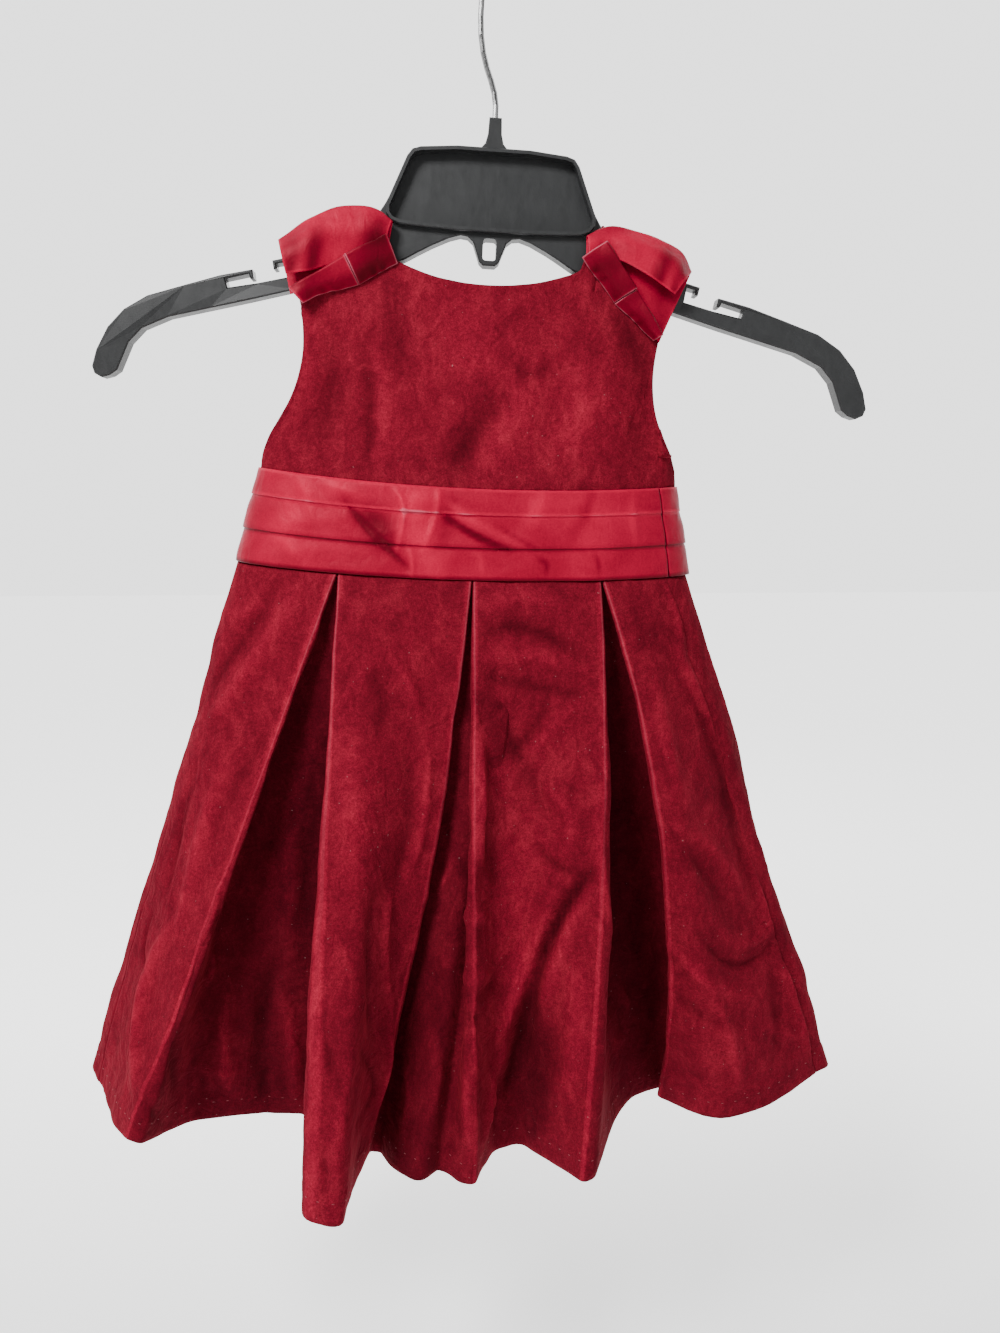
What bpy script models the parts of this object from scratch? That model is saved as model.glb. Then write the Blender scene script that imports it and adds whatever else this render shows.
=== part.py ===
"""Toddler party dress on its hanger.

A sleeveless velvet dress hangs by its shoulder straps from a wide plastic
top hanger with a wire hook.  The bodice is one front and two overlapping
back panels, the waist carries a satin sash of three lapped tiers, the skirt
is laid into seven inverted box pleats, and a satin bow sits on each
shoulder.  Lengths are millimetres here and metres in the finished mesh.
The origin is the inside top of the hook, where a rail carries it: +X runs
along the hanger, -Y is the front of the dress and +Z is up.
"""

import math

import bpy
import bmesh
import numpy as np

# ---------------------------------------------------------------- sizes, mm
MM = 0.001
GAP = 0.3
VELVET = 1.3
SATIN = 1.0
HANGER_LEAN = math.radians(3.0)

SKIRT_TOP_LEVEL = -333.9
SKIRT_LENGTH = 345.0
SEAM_LEFT = -0.986
SEAM_RIGHT = 0.845
SEAM_GAP = 0.0013
CENTRE_BACK = 2.0
PLACKET_HALF = 6.0
PLACKET_STEP = 0.85

ARM_HALF_DEPTH = 5.2
ARM_EDGE = 0.7
SHOULDER_RISE = 2.4
SHOULDER_ROUND = 3.5

HOOK_WIRE = 1.65
HOOK_TURN = math.radians(62.0)

BUTTON_RADIUS = 5.5
BUTTON_HEIGHT = 2.6

SKIRT_ROWS = (0.0, 0.03, 0.10, 0.21, 0.35, 0.50, 0.66, 0.83, 1.0)
SASH_ROWS = (-333.4, -313.8, -295.0, -281.0)
PANEL_ROWS = (0.25, 0.50, 0.74, 0.92, 0.978, 0.994, 1.0)
COLUMN_STEP = 0.012

# Cross-sections of the upper dress.  Level is the height along the leaning
# centre line; lean (degrees) and sag say how a level line hangs.
BODY_COLUMNS = ("level", "half_width", "half_depth", "power", "centre_x", "lean", "sag")
BODY = (
    (-334.0, 131.0, 31.0, 2.25, -23.0, 1.9, 5.0),
    (-310.0, 126.2, 29.5, 2.30, -21.6, 2.2, 6.0),
    (-281.0, 120.0, 27.0, 2.35, -19.6, 2.6, 6.5),
    (-250.0, 119.5, 21.5, 2.45, -17.4, 2.9, 3.5),
    (-215.0, 124.0, 15.0, 2.60, -13.8, 3.0, 1.0),
    (-185.0, 130.0, 9.8, 2.90, -11.2, 3.0, 0.0),
    (-155.0, 134.0, 7.5, 3.20, -8.1, 3.0, 0.0),
    (-125.0, 138.0, 7.3, 3.20, -6.5, 3.0, 0.0),
)

# Edges of the panels: distance from the centre line and level.
EDGE_COLUMNS = ("x", "level")
ARMHOLE = (
    (118.0, -272.0),
    (114.0, -262.5),
    (108.5, -253.0),
    (103.0, -242.0),
    (99.5, -230.0),
    (98.0, -216.0),
    (99.3, -200.0),
    (102.4, -182.0),
)
ARMHOLE_BOTTOM = -276.5
SHOULDER_OUTER_X = 104.0
SHOULDER_NECK_X = 62.7
NECKLINE = (
    (59.0, -150.5),
    (54.0, -158.5),
    (51.5, -164.8),
    (44.0, -168.5),
    (29.0, -173.0),
    (14.5, -175.3),
)
NECK_CENTRE = -176.0

# Sash section from the inside top round the three tiers to the inside
# bottom: distance out from the bodice's middle surface, and level.
SASH_COLUMNS = ("out", "level")
SASH = (
    (0.95, -281.0),
    (1.95, -281.0),
    (2.95, -294.6),
    (2.80, -295.4),
    (2.05, -295.4),
    (3.15, -313.4),
    (3.00, -314.2),
    (2.15, -314.2),
    (3.05, -332.6),
    (2.80, -333.2),
    (0.95, -333.2),
    (0.95, -313.8),
    (0.95, -295.0),
)

# How far each layer of a pleat lies from the waist line (1 is outermost).
LAYER = {1: 1.2, 2: -0.9, 3: -3.0}

# Skirt folds.  waist is the distance round the waist from centre front,
# hem is where the fold meets the floor plan, mid moves the half-height.
FOLD_COLUMNS = ("waist", "layer", "hem_x", "hem_y", "mid_x", "mid_y")
FRONT_FOLDS = (
    (-138.2, 1, -257, -4, 0, 0),
    (-130.0, 1, -251, -12, 0, 0),
    (-118.0, 1, -243, -27, 0, 0),
    (-98.0, 1, -232, -50, 0, 2),
    (-72.9, 1, -219, -68, 0, 0),
    (-72.9, 2, -212, -70, 0, 0),
    (-102.0, 2, -203, -42, 0, 0),
    (-102.0, 3, -195, -30, 0, 0),
    (-72.0, 3, -160, -18, 0, 0),
    (-40.0, 3, -128, -16, 0, 0),
    (-40.0, 2, -122, -24, 0, 0),
    (-71.1, 2, -116, -92, 0, 0),
    (-71.1, 1, -113, -123, -2, 0),
    (-50.0, 1, -90, -132, 0, 0),
    (-15.0, 1, -89, -84, 0, 0),
    (3.1, 1, -84, -64, 7, -4),
    (3.1, 2, -83, -55, 6, -4),
    (-28.0, 2, -82, -49, 0, 3),
    (-28.0, 3, -77, -50, 0, 5),
    (8.0, 3, -69, -71, 7, 6),
    (22.0, 3, -52, -87, 0, 8),
    (36.0, 3, -42, -73, 0, 6),
    (36.0, 2, -36, -74, 0, 4),
    (4.9, 2, -28, -80, 0, -3),
    (4.9, 1, -21, -81, 0, -4),
    (20.0, 1, -10, -47, 0, -6),
    (38.0, 1, 8, -38, 0, -5),
    (56.0, 1, 28, -62, 0, -3),
    (77.1, 1, 42, -84, 7, 0),
    (77.1, 2, 50, -80, 8, 0),
    (47.0, 2, 70, -22, 0, 4),
    (47.0, 3, 84, -4, 0, 4),
    (78.0, 3, 97, 6, 0, 4),
    (107.0, 3, 108, 12, 2, 0),
    (107.0, 2, 112, 4, 6, -4),
    (78.9, 2, 104, -1, 15, -16),
    (78.9, 1, 101, -7, 15, -19),
    (92.0, 1, 132, -35, 6, -12),
    (106.0, 1, 166, -25, -1, -6),
    (118.2, 1, 205, -4, -1, 0),
)
BACK_RIGHT_PANELS = (
    (118.8, 1, 206, -3.2, -1, 0),
    (128.0, 1, 215, 1, 0, 0),
    (138.0, 1, 218, 8, 0, 0),
    (148.0, 1, 213, 20, 0, 2),
    (162.0, 1, 201, 35, 0, 2),
    (214.0, 1, 93, 78, 2, 4),
    (265.0, 1, 2, 86, 0, 2),
)
BACK_LEFT_PANELS = (
    (300.0, 1, -62, 86, 0, 2),
    (351.0, 1, -152, 78, -2, 4),
    (401.0, 1, -248, 44, 0, 2),
    (412.0, 1, -262, 28, 0, 0),
    (420.0, 1, -267, 12, 0, 0),
)
# Plain pleats of the hidden back: place round the waist, bearing round the
# hem's ellipse, how wide the channel opens there and how deep it is.
BACK_PLEAT_COLUMNS = ("waist", "bearing", "opening", "depth")
BACK_RIGHT_PLEATS = ((182.0, 47.0, 32.0, 32.0), (246.0, 74.0, 34.0, 36.0))
BACK_LEFT_PLEATS = ((319.0, 108.0, 34.0, 36.0), (383.0, 133.0, 32.0, 32.0))
BACK_HEM_CENTRE = (-25.0, 8.0)
BACK_HEM_HALF = (237.0, 74.0)
CENTRE_BACK_HEM = (-30.0, 84.0)
PLEAT_HALF = 28.5

# Right half of the hanger's front outline, from the boss to the tab.
OUTLINE_COLUMNS = ("x", "z")
HANGER_OUTLINE = (
    (3.4, -87.5), (3.8, -96.0), (5.0, -100.8), (7.6, -103.6), (20.0, -104.3),
    (40.0, -106.0), (44.4, -107.4), (47.2, -111.0), (52.3, -123.0), (58.5, -135.0),
    (63.0, -142.0), (75.0, -149.2), (90.0, -157.0), (104.0, -164.6), (111.0, -166.7),
    (120.0, -169.0), (119.2, -173.5), (117.3, -173.1), (117.8, -170.6), (112.6, -169.5),
    (111.6, -177.4), (128.0, -181.4), (144.4, -184.8), (145.8, -180.3), (132.8, -176.8),
    (132.0, -179.3), (130.1, -178.9), (130.9, -174.3), (148.5, -178.5), (168.0, -185.1),
    (187.5, -192.1), (199.8, -200.3), (208.4, -210.5), (214.3, -222.9), (216.6, -231.9),
    (215.4, -235.7), (211.8, -237.6), (207.4, -236.1), (203.6, -233.1), (200.8, -226.1),
    (197.4, -217.7), (190.4, -209.7), (176.4, -202.7), (152.8, -196.1), (133.4, -190.9),
    (108.5, -184.1), (80.0, -176.6), (60.0, -169.2), (46.8, -164.0), (38.5, -159.2),
    (31.5, -155.4), (22.5, -151.2), (16.5, -149.4), (12.5, -149.9), (9.4, -152.4),
    (7.4, -157.6), (5.6, -162.6), (3.4, -164.6),
)
TRAY_OUTLINE = (
    (20.0, -104.3), (40.0, -106.0), (44.4, -107.4), (47.2, -111.0),
    (58.2, -137.0), (57.8, -141.4), (55.2, -144.6), (50.5, -146.3),
    (40.0, -146.9), (20.0, -147.6),
)
TRAY_FRONT = 9.2
TRAY_FLOOR = 2.2
TRAY_RIM = 2.0
SLOT_HALF = 3.7
SLOT_TOP = -150.2
SLOT_BOTTOM = -161.9

# Centre line of the hook in its own plane: across, up.
HOOK_COLUMNS = ("across", "up")
HOOK_SHANK = (
    (0.0, -98.5), (0.0, -88.0), (-0.3, -80.0), (-2.6, -73.0), (-7.2, -65.0),
    (-12.6, -57.0), (-17.4, -48.0), (-20.8, -38.0), (-22.2, -28.0),
)
HOOK_INNER = 20.5

# Bows.  Each row is a station from the neck end to the open end: the free
# front edge, the crest, and the end of the back run that lies on the strap.
LOOP_COLUMNS = ("front_x", "front_z", "front_y", "top_x", "top_z", "end_x", "end_z")
LOOP_LEFT = (
    (-57, -157, -13.0, -54, -146.0, -56, -160),
    (-66, -161, -13.8, -62, -140.4, -66, -165),
    (-77, -167, -14.2, -72, -139.4, -77, -171),
    (-88, -172, -15.0, -85, -141.0, -88, -178),
    (-99, -176, -17.6, -99, -147.4, -99, -183),
    (-110.5, -177.6, -16.0, -115.6, -159.4, -109, -187),
)
LOOP_RIGHT = (
    (55, -157, -12.8, 53.5, -147.0, 54, -160),
    (64, -158, -14.0, 65, -141.2, 62, -165),
    (74, -160.4, -16.4, 79, -142.2, 72, -174),
    (85, -165.6, -18.6, 94, -146.4, 82, -184),
    (95, -171.4, -19.6, 106, -151.8, 91, -193),
    (103.5, -176, -18.0, 113.4, -162.0, 98, -201),
)
# The band in front of each bow: its top edge, its lower edge and how far
# that edge stands off the strap.
BAND_COLUMNS = ("top_x", "top_z", "top_y", "low_x", "low_z", "low_lift")
BAND_LEFT = (
    (-78.7, -166.8, -18.0, -71.5, -180.0, 0.2),
    (-86.0, -171.8, -18.2, -79.0, -182.4, 0.2),
    (-93.6, -176.4, -18.8, -87.0, -185.0, 1.6),
    (-101.0, -181.0, -19.4, -94.6, -188.6, 4.6),
    (-108.4, -185.6, -18.2, -100.6, -193.0, 8.6),
)
KNOT_LEFT = (
    (-56.6, -153.8, -16.6, -50.4, -167.2, 0.2),
    (-63.0, -157.6, -18.2, -57.4, -171.2, 0.3),
    (-71.0, -162.2, -18.8, -64.6, -175.6, 0.4),
    (-78.4, -166.6, -19.0, -71.2, -179.8, 0.4),
)
BAND_RIGHT = (
    (82.0, -174.8, -17.8, 71.6, -181.4, 0.2),
    (86.2, -180.6, -18.4, 77.4, -186.0, 0.2),
    (90.4, -186.4, -19.0, 83.0, -190.6, 0.8),
    (94.4, -192.2, -18.8, 88.8, -195.6, 1.6),
    (98.6, -198.0, -17.8, 94.6, -200.6, 2.6),
)
KNOT_RIGHT = (
    (63.6, -150.8, -18.0, 51.4, -158.2, 2.2),
    (69.0, -157.6, -19.4, 57.0, -164.8, 1.4),
    (75.0, -165.6, -19.8, 64.0, -172.4, 0.8),
    (81.8, -174.4, -19.2, 71.4, -181.0, 0.4),
)

BUTTON_LEVELS = (-181.0, -213.0, -246.0, -305.0)

MATERIALS = {
    "velvet": ((0.225, 0.016, 0.026, 1.0), 0.88, 0.0),
    "satin": ((0.42, 0.020, 0.045, 1.0), 0.42, 0.0),
    "black_plastic": ((0.030, 0.032, 0.034, 1.0), 0.42, 0.0),
    "steel_wire": ((0.42, 0.42, 0.41, 1.0), 0.34, 1.0),
    "red_button": ((0.36, 0.016, 0.030, 1.0), 0.30, 0.0),
}


# ------------------------------------------------------------ small helpers
def smooth_rows(rows, at):
    """Read a table smoothly at the given values of its first column."""
    table = np.array(sorted(rows), dtype=float)
    place = table[:, 0]
    value = table[:, 1:]
    slope = np.gradient(value, place, axis=0)
    at = np.clip(np.asarray(at, dtype=float), place[0], place[-1])
    low = np.clip(np.searchsorted(place, at, side="right") - 1, 0, len(place) - 2)
    span = (place[low + 1] - place[low])[..., None]
    u = (at - place[low])[..., None] / span
    h00 = 2 * u**3 - 3 * u**2 + 1
    h10 = u**3 - 2 * u**2 + u
    h01 = 3 * u**2 - 2 * u**3
    h11 = u**3 - u**2
    return (h00 * value[low] + h10 * span * slope[low]
            + h01 * value[low + 1] + h11 * span * slope[low + 1])


def along(points, places):
    """Points at the given fractions of a polyline's length."""
    points = np.asarray(points, dtype=float)
    step = np.linalg.norm(np.diff(points, axis=0), axis=1)
    run = np.concatenate(([0.0], np.cumsum(step)))
    want = np.asarray(places) * run[-1]
    return np.stack([np.interp(want, run, points[:, k]) for k in range(points.shape[1])], axis=1)


def cut_corners(controls, bend, straight):
    """Round each inner corner of a chain of points; controls is (n, ..., 3).

    bend is the number of points on a corner and straight the number of
    extra points on each straight run.
    """
    controls = np.asarray(controls, dtype=float)
    run = np.linalg.norm(np.diff(controls, axis=0), axis=-1)[..., None]
    out = [controls[0]]
    leave = controls[0]
    for k in range(1, len(controls) - 1):
        reach = 0.42 * np.minimum(run[k - 1], run[k])
        before = controls[k] + (controls[k - 1] - controls[k]) / run[k - 1] * reach
        after = controls[k] + (controls[k + 1] - controls[k]) / run[k] * reach
        for j in range(straight):
            u = (j + 1) / (straight + 1)
            out.append(leave * (1 - u) + before * u)
        for j in range(bend):
            u = j / (bend - 1)
            out.append(before * (1 - u)**2 + 2 * controls[k] * u * (1 - u) + after * u**2)
        leave = after
    for j in range(straight):
        u = (j + 1) / (straight + 1)
        out.append(leave * (1 - u) + controls[-1] * u)
    out.append(controls[-1])
    return np.stack(out, axis=0)


# ------------------------------------------------- the dress's cross-sections
def ring(quarter, level, out=0.0):
    """Point of a cross-section; quarter counts quarter turns from centre front."""
    quarter, level = np.broadcast_arrays(np.asarray(quarter, float), np.asarray(level, float))
    half_width, half_depth, power = np.moveaxis(smooth_rows(BODY, level), -1, 0)[:3]
    turn = np.mod(quarter, 4.0)
    side = np.where(turn <= 2.0, 1.0, -1.0)
    face = np.where((turn <= 1.0) | (turn >= 3.0), -1.0, 1.0)
    local = np.where(turn <= 1.0, turn, np.where(turn <= 2.0, 2.0 - turn,
                     np.where(turn <= 3.0, turn - 2.0, 4.0 - turn)))
    angle = np.linspace(0.0, math.pi / 2, 81)
    px = half_width[..., None] * np.sin(angle)**(2.0 / power[..., None])
    py = half_depth[..., None] * np.cos(angle)**(2.0 / power[..., None])
    step = np.hypot(np.diff(px, axis=-1), np.diff(py, axis=-1))
    run = np.concatenate((np.zeros(step.shape[:-1] + (1,)), np.cumsum(step, axis=-1)), axis=-1)
    run = run / run[..., -1:]
    low = np.clip(np.sum(run <= local[..., None], axis=-1) - 1, 0, 79)[..., None]
    r0 = np.take_along_axis(run, low, -1)[..., 0]
    r1 = np.take_along_axis(run, low + 1, -1)[..., 0]
    u = (local - r0) / (r1 - r0)
    low = low[..., 0]
    x = np.take_along_axis(px, low[..., None], -1)[..., 0] * (1 - u) \
        + np.take_along_axis(px, low[..., None] + 1, -1)[..., 0] * u
    y = np.take_along_axis(py, low[..., None], -1)[..., 0] * (1 - u) \
        + np.take_along_axis(py, low[..., None] + 1, -1)[..., 0] * u
    nx = (x / half_width)**(power - 1) / half_width
    ny = (y / half_depth)**(power - 1) / half_depth
    size = np.hypot(nx, ny)
    x = side * (x + out * nx / size)
    y = y + out * ny / size
    below = np.clip(shoulder_top(x) - level, 0.0, SHOULDER_ROUND) / SHOULDER_ROUND
    y = y * np.sqrt(1.0 - (1.0 - below)**2) + 0.8 * GAP * (1.0 - below)
    return x, face * y


def place(x, y, level):
    """Take a point of a cross-section to its place in the hanging dress."""
    half_width, _, _, centre_x, lean, sag = np.moveaxis(smooth_rows(BODY, level), -1, 0)
    lean = np.radians(lean)
    gx = centre_x + x * np.cos(lean)
    gz = level * math.cos(HANGER_LEAN) - x * np.sin(lean) - sag * (1.0 - (x / half_width)**2)
    return np.stack([gx, y + 0.0 * gx, gz], axis=-1)


def quarter_at(x, level):
    """Quarter-turn coordinate on the front right of the point at distance x."""
    low = 0.0
    high = 1.0
    for _ in range(40):
        mid = (low + high) / 2
        if ring(mid, level)[0] < x:
            low = mid
        else:
            high = mid
    return (low + high) / 2


def waist_quarter():
    """Length of a quarter of the waist line."""
    x, y = ring(np.linspace(0.0, 1.0, 200), SKIRT_TOP_LEVEL)
    return float(np.hypot(np.diff(x), np.diff(y)).sum())


def hanger_top(x):
    """Height of the hanger arm's top edge in the hanger's own frame."""
    edge = np.array([row for row in HANGER_OUTLINE if 58.0 < row[0] < 112.0 and row[1] > -168.5])
    return np.interp(np.abs(x), edge[:, 0], edge[:, 1])


def shoulder_top(x):
    """Level of the shoulder fold over the arm."""
    inner = -139.0 - 0.60 * (np.abs(x) - 58.5)
    return np.where(np.abs(x) < 63.0, inner, hanger_top(x)) + SHOULDER_RISE


# ------------------------------------------------------------- mesh makers
def material(name):
    mat = bpy.data.materials.get(name)
    if mat is None:
        colour, rough, metal = MATERIALS[name]
        mat = bpy.data.materials.new(name)
        mat.use_nodes = True
        shader = mat.node_tree.nodes["Principled BSDF"]
        shader.inputs["Base Color"].default_value = colour
        shader.inputs["Roughness"].default_value = rough
        shader.inputs["Metallic"].default_value = metal
        mat.diffuse_color = colour
    return mat


def make_object(name, verts, faces, finish, smooth=True):
    """One closed named object from millimetre points."""
    mesh = bpy.data.meshes.new(name)
    mesh.from_pydata([tuple(float(c) * MM for c in v) for v in verts], [], faces)
    work = bmesh.new()
    work.from_mesh(mesh)
    bmesh.ops.recalc_face_normals(work, faces=work.faces)
    work.to_mesh(mesh)
    work.free()
    for polygon in mesh.polygons:
        polygon.use_smooth = smooth
    mesh.materials.append(material(finish))
    item = bpy.data.objects.new(name, mesh)
    bpy.context.scene.collection.objects.link(item)
    return item


def surface_normals(grid):
    """Unit normals of a grid of points."""
    down = np.gradient(grid, axis=0)
    across = np.gradient(grid, axis=1)
    normal = np.cross(across, down)
    size = np.linalg.norm(normal, axis=-1, keepdims=True)
    return normal / np.maximum(size, 1e-9)


def cloth(name, grid, wall, finish, normal=None):
    """A sheet of even thickness about a grid of points (rows, columns, 3)."""
    if normal is None:
        normal = surface_normals(grid)
    rows, cols = grid.shape[:2]
    verts = np.concatenate(((grid + normal * wall / 2).reshape(-1, 3),
                            (grid - normal * wall / 2).reshape(-1, 3)))
    half = rows * cols
    faces = []
    for i in range(rows - 1):
        for j in range(cols - 1):
            a = i * cols + j
            faces.append((a, a + 1, a + cols + 1, a + cols))
            faces.append((half + a, half + a + cols, half + a + cols + 1, half + a + 1))
    rim = [j for j in range(cols)]
    rim += [i * cols + cols - 1 for i in range(1, rows)]
    rim += [(rows - 1) * cols + j for j in range(cols - 2, -1, -1)]
    rim += [i * cols for i in range(rows - 2, 0, -1)]
    for k, a in enumerate(rim):
        b = rim[(k + 1) % len(rim)]
        faces.append((a, half + a, half + b, b))
    return make_object(name, verts, faces, finish)


def swept(name, stations, finish):
    """A closed section carried along stations (stations, section points, 3)."""
    count, size = stations.shape[:2]
    verts = stations.reshape(-1, 3)
    faces = [tuple(range(size)), tuple((count - 1) * size + k for k in reversed(range(size)))]
    for i in range(count - 1):
        for k in range(size):
            a = i * size + k
            b = i * size + (k + 1) % size
            faces.append((a, b, b + size, a + size))
    return make_object(name, verts, faces, finish)


# ----------------------------------------------------------------- bodice
def strap_edge(x):
    """Edge of a strap from below the arm up to the shoulder seam."""
    top = float(shoulder_top(x))
    return [(x, top - drop) for drop in (9.0, 4.0, 1.5, 0.3, 0.0)]


def panel_edge(points, face):
    """Turn distances from the centre line into quarter turns; face -1 is the back."""
    edge = [(quarter_at(x, level), level) for x, level in points]
    return edge if face > 0 else [(2.0 - q, level) for q, level in edge]


def armhole_to_neck(face):
    """Edge from the bottom of the armhole over the shoulder to the neckline."""
    points = list(ARMHOLE) + strap_edge(SHOULDER_OUTER_X)
    for x in np.linspace(SHOULDER_OUTER_X, SHOULDER_NECK_X, 5)[1:-1]:
        points.append((x, float(shoulder_top(x))))
    points += strap_edge(SHOULDER_NECK_X)[:0:-1]
    points += list(NECKLINE)
    return panel_edge(points, face)


def column_feet(top):
    """Foot of each column, below its top point but never crossing its neighbour."""
    feet = top[:, 0].copy()
    level = top[:, 1]
    for k in range(1, len(feet)):
        if level[k] > level[k - 1]:
            feet[k] = max(feet[k], feet[k - 1] + COLUMN_STEP)
    for k in range(len(feet) - 2, -1, -1):
        if level[k] > level[k + 1]:
            feet[k] = min(feet[k], feet[k + 1] - COLUMN_STEP)
    return feet


def columns(start, end, count):
    """Column places round the dress, closer together round the sides."""
    fine = np.linspace(start, end, 600)
    weight = 1.0 + 2.6 * np.exp(-((np.abs(fine) - 1.0) / 0.10)**2)
    run = np.concatenate(([0.0], np.cumsum((weight[1:] + weight[:-1]) / 2)))
    return np.interp(np.linspace(0.0, run[-1], count), run, fine)


def panel(top, side=1.0, lift=None):
    """Points and normals of a bodice panel up to its top line.

    Behind the sash the columns stand upright; above it they are ruled
    towards the top line, one column to each of its points.
    """
    across = side * column_feet(top)
    top = top * np.array([side, 1.0])
    low = np.array(SASH_ROWS)[:, None]
    rows = np.array(PANEL_ROWS)[:, None]
    quarter = np.concatenate((across[None, :] + 0.0 * low,
                              across[None, :] * (1 - rows) + top[None, :, 0] * rows))
    level = np.concatenate((low + 0.0 * across[None, :],
                            SASH_ROWS[-1] * (1 - rows) + top[None, :, 1] * rows))

    def spot(q, z):
        out = 0.0 if lift is None else lift(q, z)
        x, y = ring(q, z, out)
        return place(x, y, z)

    run_across = spot(quarter + 0.004, level) - spot(quarter - 0.004, level)
    run_down = spot(quarter, level - 0.1) - spot(quarter, level + 0.1)
    normal = np.cross(run_across, run_down)
    normal = normal / np.linalg.norm(normal, axis=-1, keepdims=True)
    return spot(quarter, level), normal


def front_top_line():
    """Upper edge of the front panel from the left side seam to the right."""
    half = armhole_to_neck(1)
    left = [(-q, level) for q, level in half]
    right = [p for p in half[::-1] if p[0] < SEAM_RIGHT - 0.016 or p[1] > -250.0]
    return np.array([(SEAM_LEFT + SEAM_GAP, ARMHOLE_BOTTOM + 0.6)] + left
                    + [(0.0, NECK_CENTRE)] + right + [(SEAM_RIGHT - SEAM_GAP, seam_top())])


def seam_top():
    """Level at which the right side seam meets the armhole."""
    low = panel_edge(ARMHOLE[:5], 1)[::-1]
    return float(np.interp(SEAM_RIGHT, [p[0] for p in low], [p[1] for p in low]))


def back_top_line(side):
    """Upper edge of a back panel from its side seam to past centre back."""
    if side > 0:
        line = [(SEAM_RIGHT + SEAM_GAP, seam_top())]
        line += [p for p in panel_edge(ARMHOLE[:5], 1)[::-1] if p[0] > SEAM_RIGHT + 0.016]
        line += [(1.0, ARMHOLE_BOTTOM)]
    else:
        line = [(-SEAM_LEFT + SEAM_GAP, ARMHOLE_BOTTOM + 0.6), (1.0, ARMHOLE_BOTTOM + 0.3)]
    over = PLACKET_HALF / waist_quarter()
    line += armhole_to_neck(-1)
    line += [(CENTRE_BACK - over, NECK_CENTRE + 0.9), (CENTRE_BACK + over, NECK_CENTRE + 1.0)]
    return np.array(line)


def overlap_lift(side):
    """Step of a back panel over or under the other at the centre back."""
    def lift(quarter, level):
        near = np.clip((np.abs(quarter) - 1.80) / 0.09, 0.0, 1.0)
        return side * PLACKET_STEP * near * near * (3 - 2 * near)
    return lift


def build_bodice():
    grid, normal = panel(front_top_line())
    cloth("bodice_front", grid, VELVET, "velvet", normal)
    for name, side in (("bodice_back_right", 1.0), ("bodice_back_left", -1.0)):
        grid, normal = panel(back_top_line(side), side, overlap_lift(side))
        cloth(name, grid, VELVET, "velvet", normal)


# ------------------------------------------------------------------- sash
def sash_piece(name, across, lift=None):
    section = np.array(SASH)
    level = np.broadcast_to(section[None, :, 1], (len(across), len(section)))
    out = np.broadcast_to(section[None, :, 0], level.shape)
    quarter = np.broadcast_to(across[:, None], level.shape)
    if lift is not None:
        out = out + lift(quarter, level)
    x, y = ring(quarter, level, out)
    swept(name, place(x, y, level), "satin")


def build_sash():
    over = PLACKET_HALF / waist_quarter()
    gap = 3.0 * SEAM_GAP
    sash_piece("sash_front", columns(SEAM_LEFT + gap, SEAM_RIGHT - gap, 45))
    sash_piece("sash_back_right", columns(SEAM_RIGHT + gap, CENTRE_BACK + over, 24),
               overlap_lift(1.0))
    left = columns(SEAM_LEFT - gap, -(CENTRE_BACK + over), 23)
    left = left[left > -(CENTRE_BACK - over - 0.006)]
    left = np.append(left, -(CENTRE_BACK - over - 0.006))
    sash_piece("sash_back_left", left, overlap_lift(-1.0))


# ------------------------------------------------------------------ skirt
def plain_pleat(waist, bearing, opening, depth):
    """Folds of an inverted box pleat with a U-shaped channel below."""
    angle = math.radians(bearing)
    centre = np.array([BACK_HEM_CENTRE[0] + BACK_HEM_HALF[0] * math.cos(angle),
                       BACK_HEM_CENTRE[1] + BACK_HEM_HALF[1] * math.sin(angle)])
    forward = np.array([-BACK_HEM_HALF[0] * math.sin(angle), BACK_HEM_HALF[1] * math.cos(angle)])
    forward = forward / np.linalg.norm(forward)
    inward = np.array([-forward[1], forward[0]])
    half = opening / 2
    spots = (
        (waist - 0.9, 1, -half, 0.0), (waist - 0.9, 2, -half + 6.0, 5.0),
        (waist - PLEAT_HALF, 2, -half + 4.0, depth - 6.0),
        (waist - PLEAT_HALF, 3, -half + 9.0, depth),
        (waist, 3, 0.0, depth + 2.0),
        (waist + PLEAT_HALF, 3, half - 9.0, depth),
        (waist + PLEAT_HALF, 2, half - 4.0, depth - 6.0),
        (waist + 0.9, 2, half - 6.0, 5.0), (waist + 0.9, 1, half, 0.0),
    )
    folds = []
    for place_at, layer, run, deep in spots:
        spot = centre + forward * run + inward * deep
        folds.append((place_at, layer, spot[0], spot[1], 0, 0))
    return folds


def skirt_grid(folds, rows, bend, straight):
    """Lay the folds down from the waist, each the full length of the cloth."""
    quarter_length = waist_quarter()
    fine = np.linspace(0.0, 1.0, 241)
    lines = []
    for waist, layer, hem_x, hem_y, mid_x, mid_y in folds:
        x, y = ring(waist / quarter_length, SKIRT_TOP_LEVEL, LAYER[layer])
        start = place(x, y, SKIRT_TOP_LEVEL)
        swell = 4.0 * fine * (1.0 - fine)
        px = start[0] + (hem_x - start[0]) * fine + mid_x * swell
        py = start[1] + (hem_y - start[1]) * fine + mid_y * swell
        flat = np.hypot(np.diff(px), np.diff(py))
        step = SKIRT_LENGTH / 240.0
        fall = np.sqrt(np.maximum(step**2 - flat**2, (0.3 * step)**2))
        pz = start[2] - np.concatenate(([0.0], np.cumsum(fall)))
        path = np.stack([px, py, pz], axis=1)
        at = np.asarray(rows)
        lines.append(np.stack([np.interp(at, fine, path[:, k]) for k in range(3)], axis=1))
    controls = np.stack(lines, axis=0)
    return np.swapaxes(cut_corners(controls, bend, straight), 0, 1)


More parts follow.
